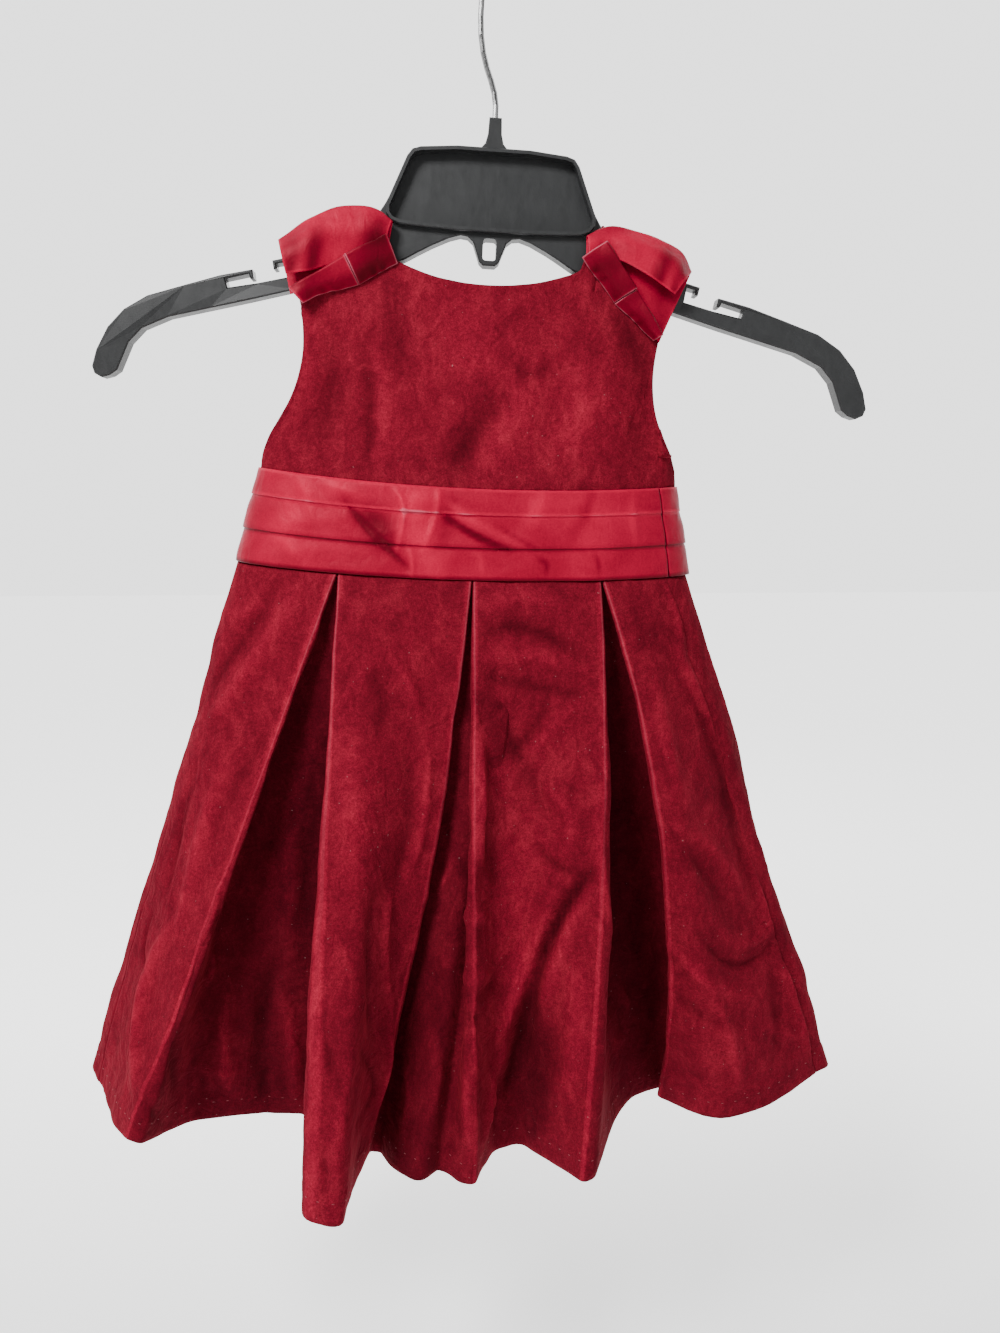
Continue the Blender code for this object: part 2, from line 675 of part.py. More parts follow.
def left_seam_fold():
    """The back's own line along the left side seam."""
    first = FRONT_FOLDS[0]
    waist = 4.0 * waist_quarter() + first[0] - 2 * GAP
    return (waist, 1, first[2] - 0.7, first[3] + 0.9, 0, 0)


def back_folds(side):
    """Folds of one back skirt piece in order round the waist."""
    centre = 2.0 * waist_quarter()
    panels = BACK_RIGHT_PANELS if side > 0 else BACK_LEFT_PANELS
    pleats = BACK_RIGHT_PLEATS if side > 0 else BACK_LEFT_PLEATS
    seam = (centre - 0.2 * side, 1, CENTRE_BACK_HEM[0] + 0.5 * side, CENTRE_BACK_HEM[1], 0, 0)
    folds = [] if side > 0 else [seam]
    for row in sorted(panels + pleats):
        folds += plain_pleat(*row) if len(row) == 4 else [row]
    folds.append(seam if side > 0 else left_seam_fold())
    return folds


def build_skirt():
    cloth("skirt_front", skirt_grid(FRONT_FOLDS, SKIRT_ROWS, 2, 0), VELVET - 0.1, "velvet")
    cloth("skirt_back_right", skirt_grid(back_folds(1), SKIRT_ROWS, 2, 0), VELVET - 0.1, "velvet")
    cloth("skirt_back_left", skirt_grid(back_folds(-1), SKIRT_ROWS, 2, 0), VELVET - 0.1, "velvet")


# ------------------------------------------------------------------- bows
def leaned(points):
    """Turn points of the hanger's own frame by its lean about the hook."""
    points = np.asarray(points, dtype=float)
    c = math.cos(HANGER_LEAN)
    s = math.sin(HANGER_LEAN)
    return np.stack([c * points[..., 0] + s * points[..., 2], points[..., 1],
                     -s * points[..., 0] + c * points[..., 2]], axis=-1)


def on_strap(x, z, out):
    """Point in front of the strap by the given distance from its middle surface."""
    level = min(z, float(shoulder_top(x)) - SHOULDER_ROUND)
    depth = ring(quarter_at(abs(x), level), level, out)[1]
    return (x, float(depth), z)


def loop_controls(row):
    """Control chain of a bow's loop at one station."""
    fx, fz, fy, tx, tz, ex, ez = row
    rest = VELVET / 2 + GAP + SATIN / 2
    back = on_strap(tx, tz, rest + 0.2)
    return np.array([
        (fx, fy, fz),
        ((fx + tx) / 2, fy - 1.0, fz + 0.55 * (tz - fz)),
        (tx, back[1] - 3.4, tz),
        (tx, back[1], tz - 0.6),
        on_strap((tx + ex) / 2, (tz + ez) / 2, rest + 0.1),
        on_strap(ex, ez, rest),
    ])


def station_grid(rows, stations, chain, bend, straight):
    """Smooth sheet through stations; chain turns a row into control points."""
    table = [(float(k),) + tuple(row) for k, row in enumerate(rows)]
    at = np.linspace(0.0, len(rows) - 1.0, stations)
    read = smooth_rows(table, at)
    controls = np.stack([chain(row) for row in read], axis=1)
    return leaned(np.swapaxes(cut_corners(controls, bend, straight), 0, 1))


def band_controls(row):
    """Control chain across a bow's front band, from its tucked top edge down."""
    tx, tz, ty, lx, lz, lift = row
    low = on_strap(lx, lz, VELVET / 2 + GAP + SATIN / 2 + lift)
    return np.array([
        (tx + 0.14 * (lx - tx), ty + 2.2, tz + 0.20 * (lz - tz)),
        (tx, ty + 2.0, tz),
        (tx, ty - 0.2, tz),
        (tx * 0.45 + lx * 0.55, (ty + low[1]) / 2 - 2.6, tz * 0.45 + lz * 0.55),
        low,
    ])


def build_bows():
    for side, loop, band, knot in (("left", LOOP_LEFT, BAND_LEFT, KNOT_LEFT),
                                   ("right", LOOP_RIGHT, BAND_RIGHT, KNOT_RIGHT)):
        cloth("bow_%s_loop" % side, station_grid(loop, 8, loop_controls, 2, 0), SATIN, "satin")
        cloth("bow_%s_band" % side, station_grid(band, 7, band_controls, 2, 0), SATIN, "satin")
        cloth("bow_%s_knot" % side, station_grid(knot, 5, band_controls, 2, 0), SATIN, "satin")


# ----------------------------------------------------------------- hanger
def full_outline(half):
    """Mirror a right half outline into a closed loop."""
    right = [tuple(p) for p in half]
    left = [(-x, z) for x, z in reversed(half)]
    return np.array(right + left)


def inset(loop, amount):
    """Move a closed outline inwards along its own normals."""
    before = np.roll(loop, 1, axis=0)
    after = np.roll(loop, -1, axis=0)
    d0 = loop - before
    d1 = after - loop
    d0 = d0 / np.linalg.norm(d0, axis=1, keepdims=True)
    d1 = d1 / np.linalg.norm(d1, axis=1, keepdims=True)
    n0 = np.stack([d0[:, 1], -d0[:, 0]], axis=1)
    n1 = np.stack([d1[:, 1], -d1[:, 0]], axis=1)
    mid = n0 + n1
    mid = mid / np.linalg.norm(mid, axis=1, keepdims=True)
    stretch = np.minimum(1.0 / np.maximum(np.sum(mid * n0, axis=1), 0.35), 1.8)
    area = 0.5 * np.sum(loop[:, 0] * after[:, 1] - after[:, 0] * loop[:, 1])
    sign = -1.0 if area > 0 else 1.0
    return loop + mid * (sign * amount * stretch)[:, None]


def plate(name, loop, front, back, edge, finish, bow=None):
    """Outline carried through the depth with softened front and back edges."""
    depths = ((front, edge), (front + edge, 0.0), (back - edge, 0.0), (back, edge))
    if edge == 0.0:
        depths = ((front, 0.0), (back, 0.0))
    layers = []
    for y, shrink in depths:
        line = inset(loop, shrink) if shrink else loop
        depth = np.full(len(line), y)
        if bow is not None:
            depth = depth + bow(line[:, 0])
        layers.append(np.stack([line[:, 0], depth, line[:, 1]], axis=1))
    return swept(name, leaned(np.stack(layers)), finish)


def arm_bow(x):
    """Forward sweep of the arms beyond the dress."""
    far = np.clip(np.abs(x) - 108.0, 0.0, None) / 108.0
    return -12.0 * far**2 - 5.0 * np.sign(x) * far


def combine(target, tool, operation):
    """Apply a boolean with a helper solid and remove the helper."""
    step = target.modifiers.new("step", "BOOLEAN")
    step.operation = operation
    step.solver = "EXACT"
    step.object = tool
    graph = bpy.context.evaluated_depsgraph_get()
    mesh = bpy.data.meshes.new_from_object(target.evaluated_get(graph))
    target.modifiers.clear()
    target.data = mesh
    bpy.data.objects.remove(tool, do_unlink=True)


def rounded_box_loop(half_x, low, high, radius):
    """Closed outline of an upright slot with rounded corners."""
    spots = []
    for cx, cz, start in ((half_x - radius, high - radius, 0), (-half_x + radius, high - radius, 90),
                          (-half_x + radius, low + radius, 180), (half_x - radius, low + radius, 270)):
        for step in (0, 45, 90):
            angle = math.radians(start + step)
            spots.append((cx + radius * math.cos(angle), cz + radius * math.sin(angle)))
    return np.array(spots)


def round_bar(centre, radius, low, high, sides):
    spots = []
    for z in (low, high):
        for k in range(sides):
            angle = 2 * math.pi * k / sides
            spots.append((centre[0] + radius * math.cos(angle),
                          centre[1] + radius * math.sin(angle), z))
    return leaned(np.array(spots).reshape(2, sides, 3))


def build_hanger():
    body = plate("hanger_body", full_outline(HANGER_OUTLINE), -ARM_HALF_DEPTH, ARM_HALF_DEPTH,
                 ARM_EDGE, "black_plastic", arm_bow)
    tray = full_outline(TRAY_OUTLINE)
    combine(body, plate("tray", tray, -TRAY_FRONT, ARM_HALF_DEPTH - 0.6, 0.5, "black_plastic"),
            "UNION")
    pocket = inset(tray, TRAY_RIM)
    combine(body, plate("pocket", pocket, -TRAY_FRONT - 2.0, -TRAY_FLOOR, 0.0, "black_plastic"),
            "DIFFERENCE")
    slot = rounded_box_loop(SLOT_HALF, SLOT_BOTTOM, SLOT_TOP, 1.6)
    combine(body, plate("slot", slot, -20.0, 20.0, 0.0, "black_plastic"), "DIFFERENCE")
    bore = swept("bore", round_bar((0.0, 0.0), HOOK_WIRE + GAP, -98.5 - GAP, -80.0, 16),
                 "black_plastic")
    combine(body, bore, "DIFFERENCE")


def build_hook():
    """Round wire from the boss up into the loop that goes over a rail."""
    centre_radius = HOOK_INNER + HOOK_WIRE
    path = [np.array(p) for p in HOOK_SHANK]
    for degrees in np.linspace(172.0, -24.0, 15):
        angle = math.radians(degrees)
        path.append(np.array([centre_radius * math.cos(angle),
                              -HOOK_INNER + centre_radius * math.sin(angle)]))
    path = np.array(path)
    direction = np.gradient(path, axis=0)
    direction = direction / np.linalg.norm(direction, axis=1, keepdims=True)
    normal = np.stack([-direction[:, 1], direction[:, 0]], axis=1)
    across = np.array([math.cos(HOOK_TURN), -math.sin(HOOK_TURN), 0.0])
    other = np.array([math.sin(HOOK_TURN), math.cos(HOOK_TURN), 0.0])
    up = np.array([0.0, 0.0, 1.0])
    stations = []
    for spot, side in zip(path, normal):
        ring_points = []
        for k in range(10):
            angle = 2 * math.pi * k / 10
            offset = HOOK_WIRE * math.cos(angle)
            depth = HOOK_WIRE * math.sin(angle)
            ring_points.append(across * (spot[0] + side[0] * offset)
                               + up * (spot[1] + side[1] * offset) + other * depth)
        stations.append(ring_points)
    swept("hanger_hook", leaned(np.array(stations)), "steel_wire")


# ---------------------------------------------------------------- buttons
def build_buttons():
    """Domed buttons down the centre-back placket."""
    profile = ((0.0, 0.0), (0.80, 0.0), (1.0, 0.30), (0.96, 0.62), (0.70, 0.90), (0.0, 1.0))
    for number, level in enumerate(BUTTON_LEVELS, start=1):
        sash = -333.0 < level < -281.0
        out = PLACKET_STEP + (3.15 if sash else VELVET / 2) + GAP
        delta = 1.0
        spot = place(*ring(CENTRE_BACK, level, out), level)
        above = place(*ring(CENTRE_BACK, level + delta, out), level + delta)
        beside = place(*ring(CENTRE_BACK + 0.01, level, out), level)
        up = (above - spot) / np.linalg.norm(above - spot)
        side = beside - spot
        side = side - up * np.dot(side, up)
        side = side / np.linalg.norm(side)
        face = np.cross(side, up)
        face = face * (1.0 if face[1] > 0 else -1.0)
        sides = 14
        verts = [spot]
        for radius, height in profile[1:-1]:
            for k in range(sides):
                angle = 2 * math.pi * k / sides
                verts.append(spot + BUTTON_RADIUS * radius
                             * (math.cos(angle) * side + math.sin(angle) * up)
                             + face * height * BUTTON_HEIGHT)
        verts.append(spot + face * BUTTON_HEIGHT)
        faces = []
        rings = len(profile) - 2
        for k in range(sides):
            nxt = (k + 1) % sides
            faces.append((0, 1 + nxt, 1 + k))
            for r in range(rings - 1):
                a = 1 + r * sides
                faces.append((a + k, a + nxt, a + sides + nxt, a + sides + k))
            last = 1 + (rings - 1) * sides
            faces.append((last + k, last + nxt, len(verts) - 1))
        make_object("button_%d" % number, verts, faces, "red_button")


# ------------------------------------------------------------------ build
for old in list(bpy.data.objects):
    bpy.data.objects.remove(old, do_unlink=True)

build_hanger()
build_hook()
build_bodice()
build_sash()
build_skirt()
build_bows()
build_buttons()
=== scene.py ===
"""Looks of the toddler party dress on its hanger.

Fine velvet, satin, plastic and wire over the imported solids.  The cloth is
worked out from the same sections and fold tables as the solids, with more
points, soft creases and finished edges.  Lengths are millimetres here.
"""

import math
from contextlib import contextmanager

import bmesh
import bpy
import numpy as np
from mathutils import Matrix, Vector


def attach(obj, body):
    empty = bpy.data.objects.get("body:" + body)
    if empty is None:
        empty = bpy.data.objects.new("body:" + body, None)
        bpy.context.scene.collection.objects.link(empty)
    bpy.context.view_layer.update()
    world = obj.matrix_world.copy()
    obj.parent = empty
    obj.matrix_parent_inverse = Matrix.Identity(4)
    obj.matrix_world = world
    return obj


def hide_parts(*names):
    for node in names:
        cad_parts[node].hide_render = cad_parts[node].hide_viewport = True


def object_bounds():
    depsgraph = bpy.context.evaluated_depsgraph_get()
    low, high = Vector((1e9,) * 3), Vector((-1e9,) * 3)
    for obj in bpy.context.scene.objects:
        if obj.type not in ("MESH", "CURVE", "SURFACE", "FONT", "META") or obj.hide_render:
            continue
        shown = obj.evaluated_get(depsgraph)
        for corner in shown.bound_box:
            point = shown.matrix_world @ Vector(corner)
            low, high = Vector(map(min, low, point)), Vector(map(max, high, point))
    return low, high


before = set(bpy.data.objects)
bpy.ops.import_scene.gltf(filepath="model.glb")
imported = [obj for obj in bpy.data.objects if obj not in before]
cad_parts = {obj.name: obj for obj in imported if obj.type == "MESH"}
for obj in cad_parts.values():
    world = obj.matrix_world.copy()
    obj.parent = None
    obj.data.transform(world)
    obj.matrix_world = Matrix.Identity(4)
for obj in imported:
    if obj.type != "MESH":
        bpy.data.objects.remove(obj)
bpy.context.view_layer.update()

# ---------------------------------------------------------------- sizes, mm
MM = 0.001
GAP = 0.3
VELVET = 1.3
SKIRT_VELVET = VELVET - 0.1
SATIN = 1.0
BOW_REST = VELVET / 2 + GAP + SATIN / 2
HANGER_LEAN = math.radians(3.0)

SKIRT_TOP_LEVEL = -333.9
SKIRT_LENGTH = 345.0
SEAM_LEFT = -0.986
SEAM_RIGHT = 0.845
SEAM_GAP = 0.0013
CENTRE_BACK = 2.0
PLACKET_HALF = 6.0
PLACKET_STEP = 0.85

SHOULDER_RISE = 2.4
SHOULDER_ROUND = 3.5

# Turned seam edges: each column's reach past the edge and its depth inside the dress.
TURNINGS = ((0.30, 0.9), (0.36, 4.0), (0.20, 7.5))

# Blind stitches of the hem.
STITCH_UP = 12.5
STITCH_PITCH = 8.5
STITCH_LENGTH = 1.3
STITCH_HALF_WIDTH = 0.22
STITCH_RISE = 0.16
STITCH_ROOT = 0.5

# Low waves of the cloth: wave length, height and the seed of their directions.
BODICE_WAVES = ((70.0, 0.45, 11), (26.0, 0.12, 12))
SKIRT_WAVES = ((95.0, 1.0, 21), (34.0, 0.30, 22))
WAVES_GROW = 60.0

# Ridges and grooves along an edge: distance from it, reach and height.
PIPING = ((1.2, 1.1, 0.35), (4.6, 0.8, -0.22))
HEM_FOLD = ((13.0, 1.6, 0.30), (16.5, 1.5, -0.35))

# Pressed pleats: painted highlight tone of an outer fold at the waist and its reach, how much darker
# the hidden layers are painted as shade, and how much further in they are.
FOLD_HIGHLIGHT = 1.55
FOLD_REACH = 0.5
HIDDEN_SHADE = 0.42
HIDDEN_IN = 1.2

# Bows: painted highlight tone of a border, its reach, and how much of it a loop shows.
BORDER_HIGHLIGHT = 2.3
BORDER_REACH = 0.75
LOOP_BORDER = 0.45

# How finely the cloth is drawn.
SASH_ROWS = (-333.4, -313.8, -295.0, -281.0)
PANEL_ROWS = tuple(1.0 - (1.0 - k / 70.0)**1.25 for k in range(1, 71))
COLUMN_STEP = 0.0028
QUARTER_POINTS = 81
FOLD_POINTS = 241
CORNER_POINTS = 6
CREASE_STEPS = 14

# Creases count the folds this far apart, so that each one stays on its own layer of a pleat.
LAYER_APART = 7.0

# Cross-sections of the upper dress: level along the leaning centre line, half width, half
# depth, power of the outline, centre x, and the lean (degrees) and sag of a level line.
BODY = (
    (-334.0, 131.0, 31.0, 2.25, -23.0, 1.9, 5.0),
    (-310.0, 126.2, 29.5, 2.30, -21.6, 2.2, 6.0),
    (-281.0, 120.0, 27.0, 2.35, -19.6, 2.6, 6.5),
    (-250.0, 119.5, 21.5, 2.45, -17.4, 2.9, 3.5),
    (-215.0, 124.0, 15.0, 2.60, -13.8, 3.0, 1.0),
    (-185.0, 130.0, 9.8, 2.90, -11.2, 3.0, 0.0),
    (-155.0, 134.0, 7.5, 3.20, -8.1, 3.0, 0.0),
    (-125.0, 138.0, 7.3, 3.20, -6.5, 3.0, 0.0),
)

# Edges of the panels: distance from the centre line and level.
ARMHOLE = (
    (118.0, -272.0),
    (114.0, -262.5),
    (108.5, -253.0),
    (103.0, -242.0),
    (99.5, -230.0),
    (98.0, -216.0),
    (99.3, -200.0),
    (102.4, -182.0),
)
ARMHOLE_BOTTOM = -276.5
SHOULDER_OUTER_X = 104.0
SHOULDER_NECK_X = 62.7
NECKLINE = (
    (59.0, -150.5),
    (54.0, -158.5),
    (51.5, -164.8),
    (44.0, -168.5),
    (29.0, -173.0),
    (14.5, -175.3),
)
NECK_CENTRE = -176.0

# How far each layer of a pleat lies from the waist line (1 is outermost).
LAYER = {1: 1.2, 2: -0.9, 3: -3.0}

# Skirt folds: distance round the waist from centre front, layer, x and y where the fold
# meets the hem, and how far its half-height is moved in x and y.
FRONT_FOLDS = (
    (-138.2, 1, -257, -4, 0, 0),
    (-130.0, 1, -251, -12, 0, 0),
    (-118.0, 1, -243, -27, 0, 0),
    (-98.0, 1, -232, -50, 0, 2),
    (-72.9, 1, -219, -68, 0, 0),
    (-72.9, 2, -212, -70, 0, 0),
    (-102.0, 2, -203, -42, 0, 0),
    (-102.0, 3, -195, -30, 0, 0),
    (-72.0, 3, -160, -18, 0, 0),
    (-40.0, 3, -128, -16, 0, 0),
    (-40.0, 2, -122, -24, 0, 0),
    (-71.1, 2, -116, -92, 0, 0),
    (-71.1, 1, -113, -123, -2, 0),
    (-50.0, 1, -90, -132, 0, 0),
    (-15.0, 1, -89, -84, 0, 0),
    (3.1, 1, -84, -64, 7, -4),
    (3.1, 2, -83, -55, 6, -4),
    (-28.0, 2, -82, -49, 0, 3),
    (-28.0, 3, -77, -50, 0, 5),
    (8.0, 3, -69, -71, 7, 6),
    (22.0, 3, -52, -87, 0, 8),
    (36.0, 3, -42, -73, 0, 6),
    (36.0, 2, -36, -74, 0, 4),
    (4.9, 2, -28, -80, 0, -3),
    (4.9, 1, -21, -81, 0, -4),
    (20.0, 1, -10, -47, 0, -6),
    (38.0, 1, 8, -38, 0, -5),
    (56.0, 1, 28, -62, 0, -3),
    (77.1, 1, 42, -84, 7, 0),
    (77.1, 2, 50, -80, 8, 0),
    (47.0, 2, 70, -22, 0, 4),
    (47.0, 3, 84, -4, 0, 4),
    (78.0, 3, 97, 6, 0, 4),
    (107.0, 3, 108, 12, 2, 0),
    (107.0, 2, 112, 4, 6, -4),
    (78.9, 2, 104, -1, 15, -16),
    (78.9, 1, 101, -7, 15, -19),
    (92.0, 1, 132, -35, 6, -12),
    (106.0, 1, 166, -25, -1, -6),
    (118.2, 1, 205, -4, -1, 0),
)
BACK_RIGHT_PANELS = (
    (118.8, 1, 206, -3.2, -1, 0),
    (128.0, 1, 215, 1, 0, 0),
    (138.0, 1, 218, 8, 0, 0),
    (148.0, 1, 213, 20, 0, 2),
    (162.0, 1, 201, 35, 0, 2),
    (214.0, 1, 93, 78, 2, 4),
    (265.0, 1, 2, 86, 0, 2),
)
BACK_LEFT_PANELS = (
    (300.0, 1, -62, 86, 0, 2),
    (351.0, 1, -152, 78, -2, 4),
    (401.0, 1, -248, 44, 0, 2),
    (412.0, 1, -262, 28, 0, 0),
    (420.0, 1, -267, 12, 0, 0),
)
# Plain pleats of the hidden back: place round the waist, bearing round the
# hem's ellipse, how wide the channel opens there and how deep it is.
BACK_RIGHT_PLEATS = ((182.0, 47.0, 32.0, 32.0), (246.0, 74.0, 34.0, 36.0))
BACK_LEFT_PLEATS = ((319.0, 108.0, 34.0, 36.0), (383.0, 133.0, 32.0, 32.0))
BACK_HEM_CENTRE = (-25.0, 8.0)
BACK_HEM_HALF = (237.0, 74.0)
CENTRE_BACK_HEM = (-30.0, 84.0)
PLEAT_HALF = 28.5

# Top edge of the hanger arm under the strap: distance out and height.
ARM_TOP = ((58.5, -135.0), (63.0, -142.0), (75.0, -149.2), (90.0, -157.0), (104.0, -164.6), (111.0, -166.7))

# Bow loops, a row for each station from the neck end to the open end: x, z and y of the free
# front edge, x and z of the crest, x and z of the end of the back run that lies on the strap.
LOOP_LEFT = (
    (-57, -157, -13.0, -54, -146.0, -56, -160),
    (-66, -161, -13.8, -62, -140.4, -66, -165),
    (-77, -167, -14.2, -72, -139.4, -77, -171),
    (-88, -172, -15.0, -85, -141.0, -88, -178),
    (-99, -176, -17.6, -99, -147.4, -99, -183),
    (-110.5, -177.6, -16.0, -115.6, -159.4, -109, -187),
)
LOOP_RIGHT = (
    (55, -157, -12.8, 53.5, -147.0, 54, -160),
    (64, -158, -14.0, 65, -141.2, 62, -165),
    (74, -160.4, -16.4, 79, -142.2, 72, -174),
    (85, -165.6, -18.6, 94, -146.4, 82, -184),
    (95, -171.4, -19.6, 106, -151.8, 91, -193),
    (103.5, -176, -18.0, 113.4, -162.0, 98, -201),
)
# Bands and knots in front of the loops: x, z and y of the top edge, x and z of the lower
# edge, and how far that edge stands off the strap.
BAND_LEFT = (
    (-78.7, -166.8, -18.0, -71.5, -180.0, 0.2),
    (-86.0, -171.8, -18.2, -79.0, -182.4, 0.2),
    (-93.6, -176.4, -18.8, -87.0, -185.0, 1.6),
    (-101.0, -181.0, -19.4, -94.6, -188.6, 4.6),
    (-108.4, -185.6, -18.2, -100.6, -193.0, 8.6),
)
KNOT_LEFT = (
    (-56.6, -153.8, -16.6, -50.4, -167.2, 0.2),
    (-63.0, -157.6, -18.2, -57.4, -171.2, 0.3),
    (-71.0, -162.2, -18.8, -64.6, -175.6, 0.4),
    (-78.4, -166.6, -19.0, -71.2, -179.8, 0.4),
)
BAND_RIGHT = (
    (82.0, -174.8, -17.8, 71.6, -181.4, 0.2),
    (86.2, -180.6, -18.4, 77.4, -186.0, 0.2),
    (90.4, -186.4, -19.0, 83.0, -190.6, 0.8),
    (94.4, -192.2, -18.8, 88.8, -195.6, 1.6),
    (98.6, -198.0, -17.8, 94.6, -200.6, 2.6),
)
KNOT_RIGHT = (
    (63.6, -150.8, -18.0, 51.4, -158.2, 2.2),
    (69.0, -157.6, -19.4, 57.0, -164.8, 1.4),
    (75.0, -165.6, -19.8, 64.0, -172.4, 0.8),
    (81.8, -174.4, -19.2, 71.4, -181.0, 0.4),
)

# Creases of bodice and sash: distance from the centre line and level of the start, middle and
# end, then width, height and painted shading tone (painted shade in troughs, painted highlight on ridges).
BODICE_CREASES = (
    (21, -231, 3, -252, -12, -275, 9, -2.1, -0.69),
    (30, -228, 15, -249, 6, -272, 11, 1.8, 0.6),
    (18, -216, 30, -222, 39, -216, 3.5, -0.8, -0.28),
    (-66, -210, -57, -243, -60, -272, 5, -1.3, -0.41),
    (-57, -213, -51, -246, -51, -272, 6, 1.1, 0.37),
    (-87, -207, -81, -240, -90, -266, 9, -1.3, -0.41),
    (-51, -174, -48, -201, -42, -228, 8, -0.8, -0.28),
    (69, -183, 87, -204, 96, -231, 9, -1.4, -0.46),
    (-96, -195, -93, -219, -96, -240, 6, 1, 0.32),
    (54, -216, 60, -243, 51, -266, 13, 1.3, 0.41),
    (-21, -189, -6, -207, 0, -228, 14, 1, 0.32),
    (87, -240, 93, -255, 93, -272, 7, -0.8, -0.28),
)
BODICE_BACK_RIGHT_CREASES = (
    (16, -205, 22, -238, 15, -270, 8, -1.4, -0.23),
    (40, -200, 44, -236, 62, -268, 10, 1.5, 0.26),
    (66, -205, 74, -238, 70, -272, 7, -1.2, -0.21),
    (88, -230, 84, -252, 92, -272, 6, 1, 0.18),
    (30, -248, 52, -256, 76, -250, 9, -0.9, -0.16),
)
BODICE_BACK_LEFT_CREASES = (
    (-18, -200, -26, -240, -20, -272, 9, 1.4, 0.23),
    (-36, -206, -52, -236, -44, -270, 8, -1.5, -0.26),
    (-70, -202, -66, -240, -80, -270, 9, 1.2, 0.21),
    (-90, -226, -94, -250, -86, -272, 6, -1, -0.18),
    (-34, -230, -58, -222, -78, -232, 10, -0.9, -0.16),
)
SASH_CREASES = (
    (-42, -284, -36, -296, -39, -317, 1.8, 1.5, 0.9),
    (-18, -281, -18, -296, -24, -317, 1.8, 1.2, 0.7),
    (-33, -317, -30, -323, -30, -332, 1.6, 1.4, 0.8),
    (-69, -293, -51, -311, -30, -329, 1.8, -1.5, -0.9),
    (-15, -296, 6, -308, 24, -314, 1.9, -2, -1.2),
    (-12, -290, 9, -302, 30, -311, 2.7, 1.4, 0.8),
    (15, -302, 27, -308, 39, -314, 1.5, -1, -0.6),
    (-81, -284, -69, -287, -57, -290, 2.7, 0.8, 0.5),
    (-96, -284, -90, -293, -87, -305, 3.4, 0.8, 0.5),
    (42, -278, 39, -290, 33, -302, 4.1, 0.8, 0.5),
    (69, -281, 66, -293, 60, -308, 3.4, -0.8, -0.5),
    (93, -281, 93, -296, 96, -311, 2.7, 0.8, 0.5),
    (6, -317, 9, -323, 9, -329, 2, 0.7, 0.4),
    (39, -320, 45, -323, 45, -329, 1.7, -0.8, -0.5),
    (72, -317, 75, -323, 75, -329, 1.7, -0.8, -0.5),
    (-108, -317, -99, -320, -96, -326, 2.7, 0.8, 0.5),
    (-30, -282, -29, -300, -27, -318, 9, 0.5, 0.95),
    (-10, -284, -12, -300, -17, -316, 5, -0.3, -0.4),
    (-60, -294, -50, -306, -40, -316, 9, -0.3, -0.8),
    (-20, -318, -18, -326, -20, -332, 8, 0.3, 0.5),
    (70, -284, 66, -300, 72, -328, 12, 0.3, 0.4),
    (-104, -284, -100, -300, -106, -328, 9, 0.3, 0.3),
)

# Painted highlight and shadow lines along the laps of the sash: level, reach and tone.
SASH_LINES = (
    (-281.2, 0.7, 1.2),
    (-294.9, 0.6, 1.7),
    (-313.6, 0.6, 0.5),
    (-314.9, 0.9, -1.5),
    (-332.6, 0.7, -0.9),
)
SASH_BACK_CREASES = (
    (20, -285, 26, -305, 22, -330, 5, 0.6, 0.35),
    (52, -284, 46, -300, 60, -328, 4, -0.7, -0.4),
    (90, -286, 84, -305, 88, -330, 6, 0.5, 0.3),
    (-24, -284, -32, -308, -28, -330, 5, -0.6, -0.35),
    (-62, -286, -56, -300, -66, -330, 5, 0.7, 0.4),
    (-96, -285, -90, -310, -94, -330, 6, -0.4, -0.25),
)
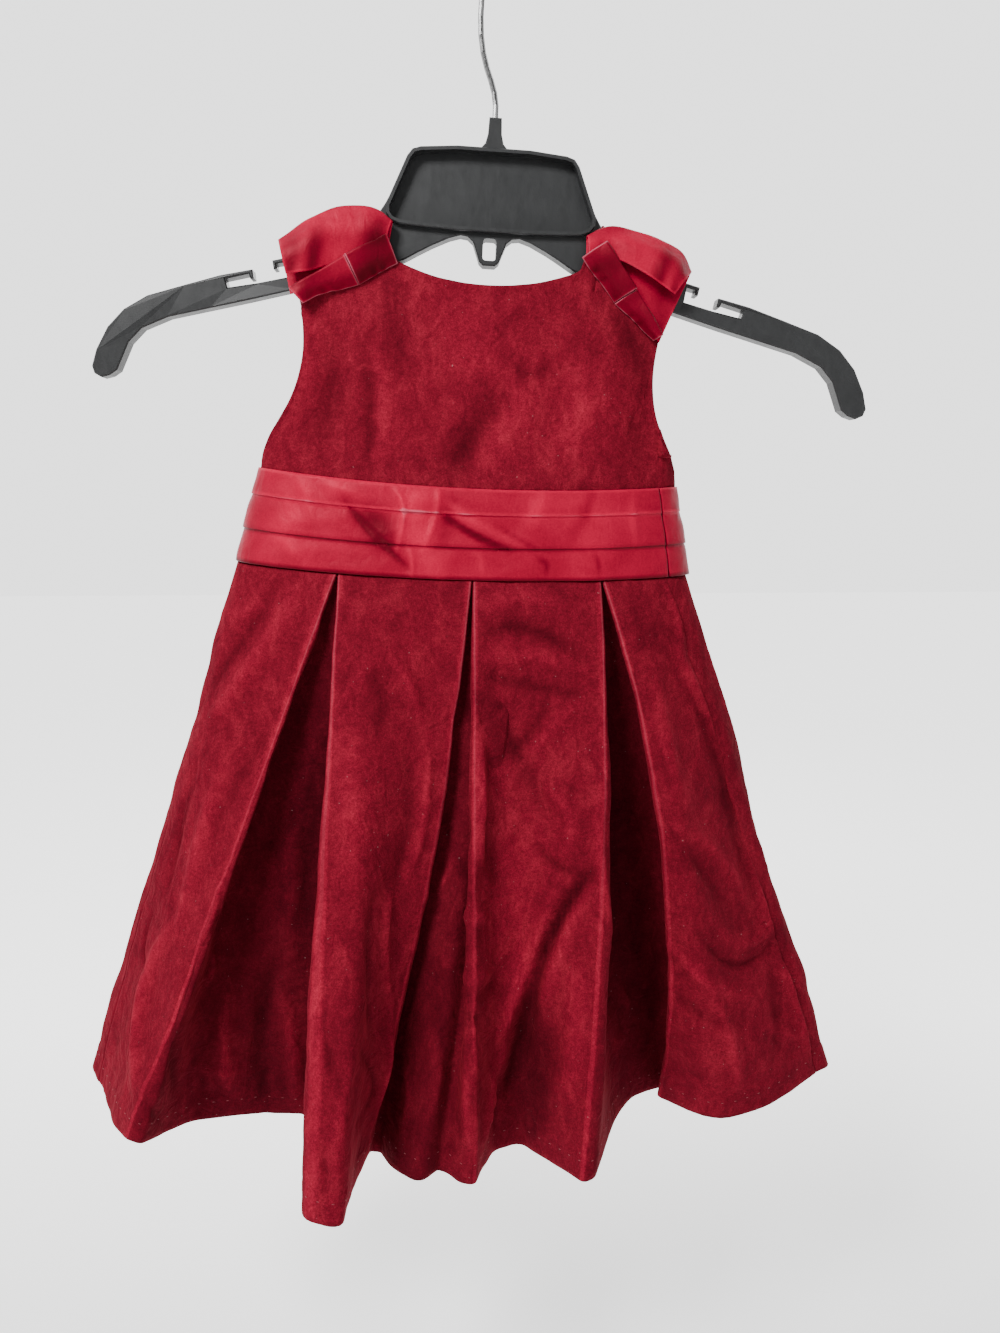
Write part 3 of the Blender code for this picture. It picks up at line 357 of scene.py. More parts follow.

# Creases of the skirt: number of the fold line and length down the cloth of the start, middle
# and end, then width, height and painted shading tone (painted shade in troughs, painted highlight on
# ridges).
SKIRT_CREASES = (
    # left panel
    (3.3, 9, 2.7, 55, 1.6, 96, 4.8, 3, 0.51),
    (2.7, 6, 2, 49, 0.1, 93, 3.6, -2.3, -0.38),
    (4, 29, 5.7, 75, 1.7, 130, 4.2, 2.8, 0.48),
    (5.2, 64, 3.5, 119, 3.1, 159, 4.2, -1.9, -0.32),
    (2.8, 122, 2.8, 174, 3.1, 220, 5.4, 3, 0.51),
    (1.7, 119, 1.5, 168, 1.9, 206, 4.2, -2.3, -0.38),
    (4, 188, 4.5, 209, 4.1, 223, 1.9, 2.3, 0.38),
    (5, 194, 5, 212, 6.6, 232, 1.8, -2.3, -0.38),
    (5.2, 215, 6.6, 241, 5.7, 249, 1.8, 2.1, 0.35),
    (1.3, 220, 1.4, 244, 2.4, 255, 2.4, -1.9, -0.32),
    (2.8, 220, 2.3, 275, 3.6, 316, 5.4, 4.6, 0.77),
    (4.1, 235, 4.6, 278, 6.1, 322, 5.4, -3, -0.51),
    (3.7, 319, 5, 325, 5.9, 342, 3, -1.9, -0.32),
    (0, 29, 1.3, 32, 2.9, 17, 5.4, 1.3, 0.22),
    # inside the left pleat
    (7.9, 157, 8.1, 197, 8.2, 246, 3, 2.5, 0.42),
    (8.1, 125, 8.2, 171, 8.4, 217, 3, -2.3, -0.38),
    (7.9, 241, 7.9, 290, 8.2, 342, 4.2, -4.2, -0.7),
    (7.2, 261, 7.3, 296, 7.6, 331, 3.6, 3, 0.51),
    (8.2, 261, 8.6, 302, 8.9, 342, 4.2, 3, 0.51),
    (6.5, 304, 7.3, 313, 7.8, 310, 2.4, 1.5, 0.26),
    # fold between the left and middle pleats
    (13, 43, 12.6, 64, 12.2, 78, 2.2, 2.8, 0.48),
    (13.3, 46, 13.7, 61, 14.1, 84, 2.3, 2.8, 0.48),
    (13, 52, 13.2, 70, 13.2, 90, 5.4, -2.5, -0.42),
    (14.3, 87, 14.5, 133, 14.3, 171, 2.7, 2.8, 0.48),
    (13.8, 101, 14.1, 145, 13.8, 180, 3.6, -1.9, -0.32),
    (14, 171, 13.9, 203, 14.5, 246, 2.2, 3.4, 0.58),
    (14.5, 246, 14.9, 284, 14.8, 322, 2.2, 3.4, 0.58),
    (13.4, 177, 13.5, 223, 14.1, 267, 3.6, -2.5, -0.42),
    (13.2, 258, 12.9, 290, 12.7, 322, 2.4, 2.7, 0.45),
    (12.4, 249, 12.6, 264, 12.9, 278, 3, -2.3, -0.38),
    (13.5, 261, 14.5, 293, 13.6, 304, 3, -2.7, -0.45),
    (12.3, 81, 12.8, 130, 12.7, 177, 7.2, 1.9, 0.32),
    (12.4, 310, 12.6, 319, 12.6, 331, 2.4, -1.9, -0.32),
    # beside the middle pleat
    (24.3, 87, 24.3, 128, 24.3, 159, 3, 4.2, 0.7),
    (19.5, 159, 19.1, 171, 18.9, 183, 2.4, 2.3, 0.38),
    (24.5, 130, 24.8, 157, 25.4, 183, 4.8, -2.3, -0.38),
    (19.3, 246, 23.7, 249, 25.7, 252, 3.6, -2.3, -0.38),
    (19.4, 220, 24.3, 229, 25.9, 226, 4.8, 1.9, 0.32),
    (25.3, 261, 25, 299, 25.3, 339, 3.6, -3, -0.51),
    (18.6, 284, 19.1, 302, 19.1, 328, 2.4, 2.1, 0.35),
    (19.5, 264, 20.2, 287, 20.1, 310, 3.6, 1.9, 0.32),
    (23.7, 273, 23.5, 299, 24, 328, 4.2, 2.7, 0.45),
    # middle panel
    (24.3, 32, 25.8, 26, 27.4, 43, 4.2, -3.2, -0.54),
    (24.3, 14, 25.9, 9, 27.3, 20, 4.8, 2.3, 0.38),
    (24.3, 52, 25.6, 58, 27.6, 67, 3, -2.5, -0.42),
    (24.3, 43, 25.9, 43, 27.6, 52, 3.6, 2.3, 0.38),
    (27.6, 64, 26.7, 84, 25.4, 113, 2.4, 3, 0.51),
    (26.6, 67, 25.9, 87, 24.8, 104, 3, -2.5, -0.42),
    (24.3, 67, 25.4, 90, 26.5, 130, 4.8, -2.8, -0.48),
    (26.6, 119, 27.2, 133, 27.1, 157, 3, 3, 0.51),
    (26.2, 151, 26.7, 162, 27.5, 168, 2.4, -2.7, -0.45),
    (27.8, 165, 26.9, 197, 26.3, 235, 3.9, -6.8, -1.15),
    (26.3, 235, 26.1, 270, 25.5, 307, 5.4, -6.1, -1.02),
    (26.9, 183, 25.9, 238, 25, 275, 4.8, 4.6, 0.77),
    (25.3, 270, 24.7, 304, 24.4, 328, 5.4, 4.9, 0.83),
    (27.7, 171, 27.1, 212, 26.6, 249, 3.6, 3.8, 0.64),
    (27.9, 113, 27.9, 157, 29, 206, 3, 2.8, 0.48),
    (27.4, 223, 27.5, 261, 27.2, 302, 6, 3.4, 0.58),
    (29, 212, 31.4, 273, 30.5, 304, 3, 2.5, 0.42),
    (15.4, 183, 24.3, 191, 25.9, 188, 4.2, 2.3, 0.38),
    (18.8, 229, 22.7, 235, 25.1, 235, 4.8, -2.3, -0.38),
    (18.9, 116, 23.1, 136, 19.9, 168, 3.6, -2.7, -0.45),
    # right panel
    (38.5, 41, 39, 84, 39, 133, 3.6, 3.4, 0.58),
    (39, 133, 39, 191, 39, 249, 3, 3.8, 0.64),
    (39, 249, 39, 296, 39, 331, 3, 3.8, 0.64),
    (38.9, 72, 38.9, 130, 38.9, 212, 4.2, -3.4, -0.58),
    (39, 128, 39, 171, 39, 209, 2.7, -2.5, -0.42),
    (36.7, 145, 38.2, 171, 38.6, 209, 3.6, 2.7, 0.45),
    (36.4, 151, 37.6, 180, 38.3, 220, 4.2, -2.3, -0.38),
    (36.9, 212, 38, 244, 39, 241, 2.7, -3, -0.51),
    (37.4, 206, 38.3, 235, 39, 232, 2.7, 2.5, 0.42),
    (35.6, 223, 37.1, 249, 38.3, 270, 3.6, 3, 0.51),
    (33.1, 249, 36.6, 267, 37.7, 281, 4.2, -2.5, -0.42),
    (37.2, 258, 37.5, 293, 37.5, 325, 4.2, 2.7, 0.45),
    (38.7, 261, 38.6, 290, 38.3, 319, 3.6, -2.7, -0.45),
    (37.5, 52, 37.1, 99, 37.5, 136, 5.4, 2.3, 0.38),
    (39, 9, 39, 29, 38.7, 46, 3, 1.9, 0.32),
    (38.2, 287, 38.7, 307, 39, 310, 3, 1.7, 0.29),
    # shaded and lit stretches
    (26.6, 258, 26.4, 296, 26.2, 338, 15, 0, -0.75),
    (31.3, 40, 31.5, 160, 31.5, 300, 22, 0, -0.5),
    (8.4, 60, 8.4, 150, 8.4, 250, 18, 0, -0.35),
    (18.4, 150, 18.5, 230, 18.6, 310, 10, 0, -0.4),
    (25.6, 120, 25.6, 180, 25.4, 240, 16, 0, 0.3),
)
BACK_CREASES_RIGHT = (
    (1, 60, 2, 150, 1.4, 250, 8, -2.4, -0.42),
    (2.4, 40, 2.2, 120, 3, 200, 6, 2, 0.34),
    (9, 70, 10, 160, 9.4, 260, 8, 2.1, 0.36),
    (10.6, 50, 10.2, 130, 11, 190, 6, -1.8, -0.31),
    (9.6, 200, 10.8, 250, 10.2, 310, 7, -2.4, -0.42),
    (17.6, 60, 18.6, 150, 18, 240, 9, -2.1, -0.36),
    (19, 110, 18.4, 200, 19.4, 300, 8, 2.4, 0.42),
    (17.4, 230, 18.6, 238, 19.8, 228, 6, -1.4, -0.23),
    (1, 270, 2.2, 278, 3, 268, 6, 1.4, 0.23),
)
BACK_CREASES_LEFT = (
    (1, 50, 2, 140, 1.2, 230, 9, 2.1, 0.36),
    (2.2, 80, 2.8, 180, 2, 290, 7, -2.2, -0.39),
    (9, 60, 10, 140, 9.4, 220, 7, -2, -0.34),
    (10.4, 120, 9.8, 210, 10.8, 310, 8, 2.2, 0.39),
    (9.2, 40, 10.4, 46, 11, 38, 6, 1.4, 0.23),
    (17.4, 70, 18.4, 160, 17.8, 260, 8, 2.2, 0.39),
    (18.8, 60, 18.6, 140, 19.2, 210, 6, -2, -0.34),
    (17.6, 250, 18.8, 262, 19.6, 250, 7, 1.7, 0.29),
)


# ------------------------------------------------------------ small helpers
def smooth_rows(rows, at):
    """Read a table smoothly at the given values of its first column."""
    table = np.array(sorted(rows), dtype=float)
    place = table[:, 0]
    value = table[:, 1:]
    slope = np.gradient(value, place, axis=0)
    at = np.clip(np.asarray(at, dtype=float), place[0], place[-1])
    low = np.clip(np.searchsorted(place, at, side="right") - 1, 0, len(place) - 2)
    span = (place[low + 1] - place[low])[..., None]
    u = (at - place[low])[..., None] / span
    h00 = 2 * u**3 - 3 * u**2 + 1
    h10 = u**3 - 2 * u**2 + u
    h01 = 3 * u**2 - 2 * u**3
    h11 = u**3 - u**2
    return (h00 * value[low] + h10 * span * slope[low]
            + h01 * value[low + 1] + h11 * span * slope[low + 1])


def run_along(points, axis=0):
    """Distance travelled along each line of points from its first one."""
    step = np.linalg.norm(np.diff(points, axis=axis), axis=-1)
    return np.concatenate((0.0 * step.take([0], axis), step.cumsum(axis)), axis=axis)


def ridge(distance, middle, reach, height):
    """Soft bell of the given height over a distance."""
    return height * np.exp(-((distance - middle) / reach)**2)


def refined(rows, count):
    """Evenly spread points on a smooth curve through the given ones."""
    table = [(float(k),) + tuple(row) for k, row in enumerate(rows)]
    return smooth_rows(table, np.linspace(0.0, len(rows) - 1.0, count))


def cut_corners(controls, straight):
    """Round each inner corner of a chain of points; controls is (n, ..., 3).

    straight is the number of extra points on each straight run.
    """
    controls = np.asarray(controls, dtype=float)
    run = np.linalg.norm(np.diff(controls, axis=0), axis=-1)[..., None]
    out = [controls[0]]
    leave = controls[0]
    for k in range(1, len(controls)):
        inner = k < len(controls) - 1
        before = controls[k]
        if inner:
            reach = 0.42 * np.minimum(run[k - 1], run[k])
            before = controls[k] + (controls[k - 1] - controls[k]) / run[k - 1] * reach
        for j in range(straight):
            u = (j + 1) / (straight + 1)
            out.append(leave * (1 - u) + before * u)
        if inner:
            leave = controls[k] + (controls[k + 1] - controls[k]) / run[k] * reach
            for j in range(CORNER_POINTS):
                u = j / (CORNER_POINTS - 1)
                out.append(before * (1 - u)**2 + 2 * controls[k] * u * (1 - u) + leave * u**2)
    out.append(controls[-1])
    return np.stack(out, axis=0)


# ------------------------------------------------- the dress's cross-sections
def ring(quarter, level, out=0.0):
    """Point of a cross-section; quarter counts quarter turns from centre front."""
    quarter, level = np.broadcast_arrays(np.asarray(quarter, float), np.asarray(level, float))
    half_width, half_depth, power = np.moveaxis(smooth_rows(BODY, level), -1, 0)[:3]
    turn = np.mod(quarter, 4.0)
    side = np.where(turn <= 2.0, 1.0, -1.0)
    face = np.where((turn <= 1.0) | (turn >= 3.0), -1.0, 1.0)
    local = np.where(turn <= 1.0, turn, np.where(turn <= 2.0, 2.0 - turn,
                     np.where(turn <= 3.0, turn - 2.0, 4.0 - turn)))
    angle = np.linspace(0.0, math.pi / 2, QUARTER_POINTS)
    px = half_width[..., None] * np.sin(angle)**(2.0 / power[..., None])
    py = half_depth[..., None] * np.cos(angle)**(2.0 / power[..., None])
    step = np.hypot(np.diff(px, axis=-1), np.diff(py, axis=-1))
    run = np.concatenate((np.zeros(step.shape[:-1] + (1,)), np.cumsum(step, axis=-1)), axis=-1)
    run = run / run[..., -1:]
    low = np.clip(np.sum(run <= local[..., None], axis=-1) - 1, 0, QUARTER_POINTS - 2)[..., None]

    def either_side(table):
        return [np.take_along_axis(table, low + k, -1)[..., 0] for k in (0, 1)]

    (r0, r1), (x0, x1), (y0, y1) = either_side(run), either_side(px), either_side(py)
    u = (local - r0) / (r1 - r0)
    x = x0 * (1 - u) + x1 * u
    y = y0 * (1 - u) + y1 * u
    nx = (x / half_width)**(power - 1) / half_width
    ny = (y / half_depth)**(power - 1) / half_depth
    size = np.hypot(nx, ny)
    x = side * (x + out * nx / size)
    y = y + out * ny / size
    below = np.clip(shoulder_top(x) - level, 0.0, SHOULDER_ROUND) / SHOULDER_ROUND
    y = y * np.sqrt(1.0 - (1.0 - below)**2) + 0.8 * GAP * (1.0 - below)
    return x, face * y


def place(x, y, level):
    """Take a point of a cross-section to its place in the hanging dress."""
    half_width, _, _, centre_x, lean, sag = np.moveaxis(smooth_rows(BODY, level), -1, 0)
    lean = np.radians(lean)
    gx = centre_x + x * np.cos(lean)
    gz = level * math.cos(HANGER_LEAN) - x * np.sin(lean) - sag * (1.0 - (x / half_width)**2)
    return np.stack([gx, y + 0.0 * gx, gz], axis=-1)


def quarter_at(x, level):
    """Quarter-turn coordinate on the front right of the point at distance x."""
    low = 0.0
    high = 1.0
    for _ in range(40):
        mid = (low + high) / 2
        if ring(mid, level)[0] < x:
            low = mid
        else:
            high = mid
    return (low + high) / 2


def waist_quarter():
    """Length of a quarter of the waist line."""
    x, y = ring(np.linspace(0.0, 1.0, 200), SKIRT_TOP_LEVEL)
    return float(np.hypot(np.diff(x), np.diff(y)).sum())


def shoulder_top(x):
    """Level of the shoulder fold over the hanger's arm."""
    inner = -139.0 - 0.60 * (np.abs(x) - 58.5)
    arm = np.interp(np.abs(x), *zip(*ARM_TOP))
    return np.where(np.abs(x) < 63.0, inner, arm) + SHOULDER_RISE


def surface_normals(grid):
    """Unit normals of a grid of points."""
    down = np.gradient(grid, axis=0)
    across = np.gradient(grid, axis=1)
    normal = np.cross(across, down)
    size = np.linalg.norm(normal, axis=-1, keepdims=True)
    return normal / np.maximum(size, 1e-9)


def softened(normal, reach):
    """Directions evened out along the columns."""
    total = np.zeros(normal.shape)
    for shift in range(-reach, reach + 1):
        at = np.clip(np.arange(normal.shape[1]) + shift, 0, normal.shape[1] - 1)
        total += normal[:, at]
    return total / np.linalg.norm(total, axis=-1, keepdims=True)


def strap_edge(x):
    """Edge of a strap from below the arm up to the shoulder seam."""
    top = float(shoulder_top(x))
    return [(x, top - drop) for drop in (13.0, 9.5, 6.5, 4.4, 3.0, 1.9, 1.1, 0.5, 0.15, 0.0)]


def panel_edge(points, face):
    """Turn distances from the centre line into quarter turns; face -1 is the back."""
    edge = [(quarter_at(x, level), level) for x, level in points]
    return edge if face > 0 else [(2.0 - q, level) for q, level in edge]


def armhole_to_neck(face):
    """Edge from the bottom of the armhole over the shoulder to the neckline."""
    points = [*refined(ARMHOLE, 43), *strap_edge(SHOULDER_OUTER_X)]
    for x in np.linspace(SHOULDER_OUTER_X, SHOULDER_NECK_X, 26)[1:-1]:
        points.append((x, float(shoulder_top(x))))
    points += [*strap_edge(SHOULDER_NECK_X)[:0:-1], *refined(NECKLINE, 31)]
    points += [(x, NECK_CENTRE + 0.7 * (x / 14.5)**2) for x in (12.0, 9.0, 6.0, 3.0)]
    return panel_edge(points, face)


def column_feet(top):
    """Foot of each column, below its top point but never crossing its neighbour."""
    feet = top[:, 0].copy()
    level = top[:, 1]
    for k in range(1, len(feet)):
        if level[k] > level[k - 1]:
            feet[k] = max(feet[k], feet[k - 1] + COLUMN_STEP)
    for k in range(len(feet) - 2, -1, -1):
        if level[k] > level[k + 1]:
            feet[k] = min(feet[k], feet[k + 1] - COLUMN_STEP)
    feet = np.sort(feet)
    reach = 9
    padded = np.concatenate((2.0 * feet[0] - feet[reach:0:-1], feet, 2.0 * feet[-1] - feet[-2:-reach - 2:-1]))
    return np.convolve(padded, np.full(2 * reach + 1, 1.0 / (2 * reach + 1)), "valid")


def columns(start, end, count):
    """Column places round the dress, closer together round the sides."""
    fine = np.linspace(start, end, 600)
    weight = 1.0 + ridge(np.abs(fine), 1.0, 0.10, 2.6)
    run = np.concatenate(([0.0], np.cumsum((weight[1:] + weight[:-1]) / 2)))
    return np.interp(np.linspace(0.0, run[-1], count), run, fine)


def panel(top, side=1.0, lift=None):
    """Points and normals of a bodice panel up to its top line.

    Behind the sash the columns stand upright; above it they are ruled
    towards the top line, one column to each of its points.
    """
    across = side * column_feet(top)
    top = top * np.array([side, 1.0])
    low = np.array(SASH_ROWS)[:, None]
    rows = np.array(PANEL_ROWS)[:, None]
    quarter = np.concatenate((across[None, :] + 0.0 * low,
                              across[None, :] * (1 - rows) + top[None, :, 0] * rows))
    level = np.concatenate((low + 0.0 * across[None, :],
                            SASH_ROWS[-1] * (1 - rows) + top[None, :, 1] * rows))

    def spot(q, z):
        out = 0.0 if lift is None else lift(q, z)
        x, y = ring(q, z, out)
        return place(x, y, z)

    run_across = spot(quarter + 0.004, level) - spot(quarter - 0.004, level)
    run_down = spot(quarter, level - 0.1) - spot(quarter, level + 0.1)
    normal = np.cross(run_across, run_down)
    normal = normal / np.linalg.norm(normal, axis=-1, keepdims=True)
    return spot(quarter, level), normal


def front_top_line():
    """Upper edge of the front panel from the left side seam to the right."""
    half = armhole_to_neck(1)
    left = [(-q, level) for q, level in half]
    right = [p for p in half[::-1] if p[0] < SEAM_RIGHT - 0.016 or p[1] > -250.0]
    return np.array([(SEAM_LEFT + SEAM_GAP, ARMHOLE_BOTTOM + 0.6)] + left
                    + [(0.0, NECK_CENTRE)] + right + [(SEAM_RIGHT - SEAM_GAP, seam_top())])


def seam_top():
    """Level at which the right side seam meets the armhole."""
    low = panel_edge(ARMHOLE[:5], 1)[::-1]
    return float(np.interp(SEAM_RIGHT, [p[0] for p in low], [p[1] for p in low]))


def back_top_line(side):
    """Upper edge of a back panel from its side seam to past centre back."""
    if side > 0:
        line = [(SEAM_RIGHT + SEAM_GAP, seam_top())]
        line += [p for p in panel_edge(ARMHOLE[:5], 1)[::-1] if p[0] > SEAM_RIGHT + 0.016]
        line += [(1.0, ARMHOLE_BOTTOM)]
    else:
        line = [(-SEAM_LEFT + SEAM_GAP, ARMHOLE_BOTTOM + 0.6), (1.0, ARMHOLE_BOTTOM + 0.3)]
    over = PLACKET_HALF / waist_quarter()
    line += armhole_to_neck(-1)
    line += [(CENTRE_BACK - over, NECK_CENTRE + 0.9), (CENTRE_BACK + over, NECK_CENTRE + 1.0)]
    return np.array(line)


def overlap_lift(side):
    """Step of a back panel over or under the other at the centre back."""
    def lift(quarter, level):
        near = np.clip((np.abs(quarter) - 1.80) / 0.09, 0.0, 1.0)
        return side * PLACKET_STEP * near * near * (3 - 2 * near)
    return lift


def plain_pleat(waist, bearing, opening, depth):
    """Folds of an inverted box pleat with a U-shaped channel below."""
    angle = math.radians(bearing)
    centre = np.array([BACK_HEM_CENTRE[0] + BACK_HEM_HALF[0] * math.cos(angle),
                       BACK_HEM_CENTRE[1] + BACK_HEM_HALF[1] * math.sin(angle)])
    forward = np.array([-BACK_HEM_HALF[0] * math.sin(angle), BACK_HEM_HALF[1] * math.cos(angle)])
    forward = forward / np.linalg.norm(forward)
    inward = np.array([-forward[1], forward[0]])
    half = opening / 2
    spots = (
        (waist - 0.9, 1, -half, 0.0), (waist - 0.9, 2, -half + 6.0, 5.0),
        (waist - PLEAT_HALF, 2, -half + 4.0, depth - 6.0),
        (waist - PLEAT_HALF, 3, -half + 9.0, depth),
        (waist, 3, 0.0, depth + 2.0),
        (waist + PLEAT_HALF, 3, half - 9.0, depth),
        (waist + PLEAT_HALF, 2, half - 4.0, depth - 6.0),
        (waist + 0.9, 2, half - 6.0, 5.0), (waist + 0.9, 1, half, 0.0),
    )
    folds = []
    for place_at, layer, run, deep in spots:
        spot = centre + forward * run + inward * deep
        folds.append((place_at, layer, spot[0], spot[1], 0, 0))
    return folds


def left_seam_fold():
    """The back's own line along the left side seam."""
    first = FRONT_FOLDS[0]
    waist = 4.0 * waist_quarter() + first[0] - 2 * GAP
    return (waist, 1, first[2] - 0.7, first[3] + 0.9, 0, 0)


def back_folds(side):
    """Folds of one back skirt piece in order round the waist."""
    centre = 2.0 * waist_quarter()
    panels = BACK_RIGHT_PANELS if side > 0 else BACK_LEFT_PANELS
    pleats = BACK_RIGHT_PLEATS if side > 0 else BACK_LEFT_PLEATS
    seam = (centre - 0.2 * side, 1, CENTRE_BACK_HEM[0] + 0.5 * side, CENTRE_BACK_HEM[1], 0, 0)
    folds = [] if side > 0 else [seam]
    for row in sorted(panels + pleats):
        folds += plain_pleat(*row) if len(row) == 4 else [row]
    folds.append(seam if side > 0 else left_seam_fold())
    return folds


def leaned(points):
    """Turn points of the hanger's own frame by its lean about the hook."""
    points = np.asarray(points, dtype=float)
    c = math.cos(HANGER_LEAN)
    s = math.sin(HANGER_LEAN)
    return np.stack([c * points[..., 0] + s * points[..., 2], points[..., 1],
                     -s * points[..., 0] + c * points[..., 2]], axis=-1)


def on_strap(x, z, out):
    """Point in front of the strap by the given distance from its middle surface."""
    level = min(z, float(shoulder_top(x)) - SHOULDER_ROUND)
    depth = ring(quarter_at(abs(x), level), level, out)[1]
    return (x, float(depth), z)


def loop_controls(row):
    """Control chain of a bow's loop at one station."""
    fx, fz, fy, tx, tz, ex, ez = row
    back = on_strap(tx, tz, BOW_REST + 0.2)
    return np.array([
        (fx, fy, fz),
        ((fx + tx) / 2, fy - 1.0, fz + 0.55 * (tz - fz)),
        (tx, back[1] - 3.4, tz),
        (tx, back[1], tz - 0.6),
        on_strap((tx + ex) / 2, (tz + ez) / 2, BOW_REST + 0.1),
        on_strap(ex, ez, BOW_REST),
    ])


def band_controls(row):
    """Control chain across a bow's front band, from its tucked top edge down."""
    tx, tz, ty, lx, lz, lift = row
    low = on_strap(lx, lz, BOW_REST + lift)
    return np.array([
        (tx + 0.14 * (lx - tx), ty + 2.2, tz + 0.20 * (lz - tz)),
        (tx, ty + 2.0, tz),
        (tx, ty - 0.2, tz),
        (tx * 0.45 + lx * 0.55, (ty + low[1]) / 2 - 2.6, tz * 0.45 + lz * 0.55),
        low,
    ])


def station_grid(rows, stations, chain, straight):
    """Smooth sheet through stations; chain turns a row into control points."""
    controls = np.stack([chain(row) for row in refined(rows, stations)], axis=1)
    return leaned(np.swapaxes(cut_corners(controls, straight), 0, 1))


# ------------------------------------------------------------ soft creases
def crease(points, start, middle, end, width):
    """Soft profile, 0 to 1, along a bowed line through three points of the cloth."""
    reach = 3.0 * width
    corners = np.stack([start, middle, end])
    low, high = corners.min(axis=0) - reach, corners.max(axis=0) + reach
    near = np.all((points > low) & (points < high), axis=-1)
    total = np.zeros(points.shape[:-1])
    if not near.any():
        return total
    spots = points[near]
    handle = 2.0 * middle - 0.5 * (start + end)
    at = np.linspace(0.0, 1.0, CREASE_STEPS + 1)[:, None]
    path = (1.0 - at)**2 * start + 2.0 * at * (1.0 - at) * handle + at**2 * end
    best = np.full(len(spots), 1e9)
    place_at = np.zeros(len(spots))
    for k in range(CREASE_STEPS):
        line = path[k + 1] - path[k]
        u = np.clip((spots - path[k]) @ line / np.dot(line, line), 0.0, 1.0)
        away = np.linalg.norm(spots - path[k] - u[:, None] * line, axis=-1)
        closer = away < best
        best = np.where(closer, away, best)
        place_at = np.where(closer, (k + u) / CREASE_STEPS, place_at)
    fade = 0.25 + 0.75 * np.sin(math.pi * place_at)**0.7
    total[near] = ridge(best, 0.0, width, fade)
    return total


def pressed(points, table, spot):
    """Height and painted shading tone (shade in troughs, highlight on ridges) that a table of creases gives
    each point.
    """
    height = np.zeros(points.shape[:-1])
    tone = np.zeros(points.shape[:-1])
    for a0, b0, a1, b1, a2, b2, width, lift, painted_shading in table:
        line = crease(points, spot(a0, b0), spot(a1, b1), spot(a2, b2), width)
        height += lift * line
        tone += painted_shading * line
    return height, tone


def ripple(points, size, height, seed):
    """Uneven low waves, the same on every run."""
    dice = np.random.RandomState(seed)
    total = np.zeros(points.shape[:-1])
    for k in range(7):
        turn = dice.normal(size=3)
        turn = turn / np.linalg.norm(turn)
        length = size * (0.6 + 0.9 * dice.rand())
        total += np.sin(points @ turn * (2 * math.pi / length) + dice.rand() * 6.28)
    return height * total / 2.6


# ------------------------------------------------------------- mesh makers
def openness(grid, reach):
    """1 on open cloth, down to 0 where the columns turn back sharply, as at a pressed edge."""
    last = grid.shape[1] - 1
    at = np.arange(last + 1)
    before, after = np.clip(at - reach, 0, last), np.clip(at + reach, 0, last)
    run = run_along(grid, 1)
    straight = np.linalg.norm(grid[:, after] - grid[:, before], axis=-1)
    share = straight / np.maximum(run[:, after] - run[:, before], 1e-6)
    return np.clip((share - 0.35) / 0.55, 0.0, 1.0)


def pleat_edges(grid, face, reach):
    """Mask of the painted highlight: 1 along the pressed outer folds of the pleats, fading a short way along
    the cloth.
    """
    run = run_along(grid, 1)
    line = np.zeros(face.shape)
    for column in np.nonzero((face[0] > 0.92) & (face[0] < 0.999))[0]:
        line = np.maximum(line, ridge(run, run[:, column, None], reach, 1.0))
    return line


def facing_out(grid, normal):
    """The same normals, turned away from the middle of the dress."""
    away = grid - np.array([-25.0, -5.0, 0.0])
    away[..., 2] = 0.0
    return normal * (1.0 if np.sum(normal * away) > 0.0 else -1.0)


def turned_in(grid, uv, tone, ease):
    """Seam turnings: the last columns fold back into the dress beside the stitching."""
    normal = facing_out(grid, surface_normals(grid))
    wide, wide_uv = [grid], [uv]
    for first in (True, False):
        edge, inner = (0, 1) if first else (-1, -2)
        aside = grid[:, edge] - grid[:, inner]
        aside = aside / np.linalg.norm(aside, axis=-1, keepdims=True)
        for out, deep in TURNINGS:
            turn = grid[:, edge] + (aside * out - normal[:, edge] * deep) * ease[:, edge, None]
            flat = uv[:, edge] + np.array([-deep if first else deep, 0.0])
            wide.insert(0 if first else len(wide), turn[:, None])
            wide_uv.insert(0 if first else len(wide_uv), flat[:, None])
    tone = np.pad(tone, ((0, 0), (len(TURNINGS), len(TURNINGS))), mode="edge")
    return np.concatenate(wide, axis=1), np.concatenate(wide_uv, axis=1), tone


def placed(name, data):
    """New object of the scene."""
    item = bpy.data.objects.new(name, data)
    bpy.context.scene.collection.objects.link(item)
    return item


@contextmanager
def edited(mesh):
    """Open a mesh for editing and write it back afterwards."""
    work = bmesh.new()
    work.from_mesh(mesh)
    yield work
    work.to_mesh(mesh)
    work.free()


def finish_mesh(name, verts, faces, uv, look, tone):
    """Smooth mesh in the frame, with its cloth coordinates and the painted shading tone of its points."""
    count, size = faces.shape
    mesh = bpy.data.meshes.new(name)
    mesh.vertices.add(len(verts))
    mesh.vertices.foreach_set("co", np.asarray(verts, dtype=np.float32).ravel())
    mesh.loops.add(count * size)
    mesh.loops.foreach_set("vertex_index", faces.astype(np.int32).ravel())
    mesh.polygons.add(count)
    mesh.polygons.foreach_set("loop_start", np.arange(0, count * size, size, dtype=np.int32))
    mesh.polygons.foreach_set("use_smooth", np.ones(count, dtype=bool))
    mesh.update(calc_edges=True)
    layer = mesh.uv_layers.new(name="cloth")
    layer.data.foreach_set("uv", (uv[faces.ravel()] * MM).astype(np.float32).ravel())
    # Tone of painted shade and painted highlight at each point, read by the materials.
    painted_shading = mesh.attributes.new("painted_shading", "FLOAT", "POINT")
    painted_shading.data.foreach_set("value", np.asarray(tone, dtype=np.float32))
    mesh.validate()
    with edited(mesh) as work:
        bmesh.ops.recalc_face_normals(work, faces=work.faces)
    mesh.materials.append(look)
    item = placed(name, mesh)
    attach(item, "root")
    return item


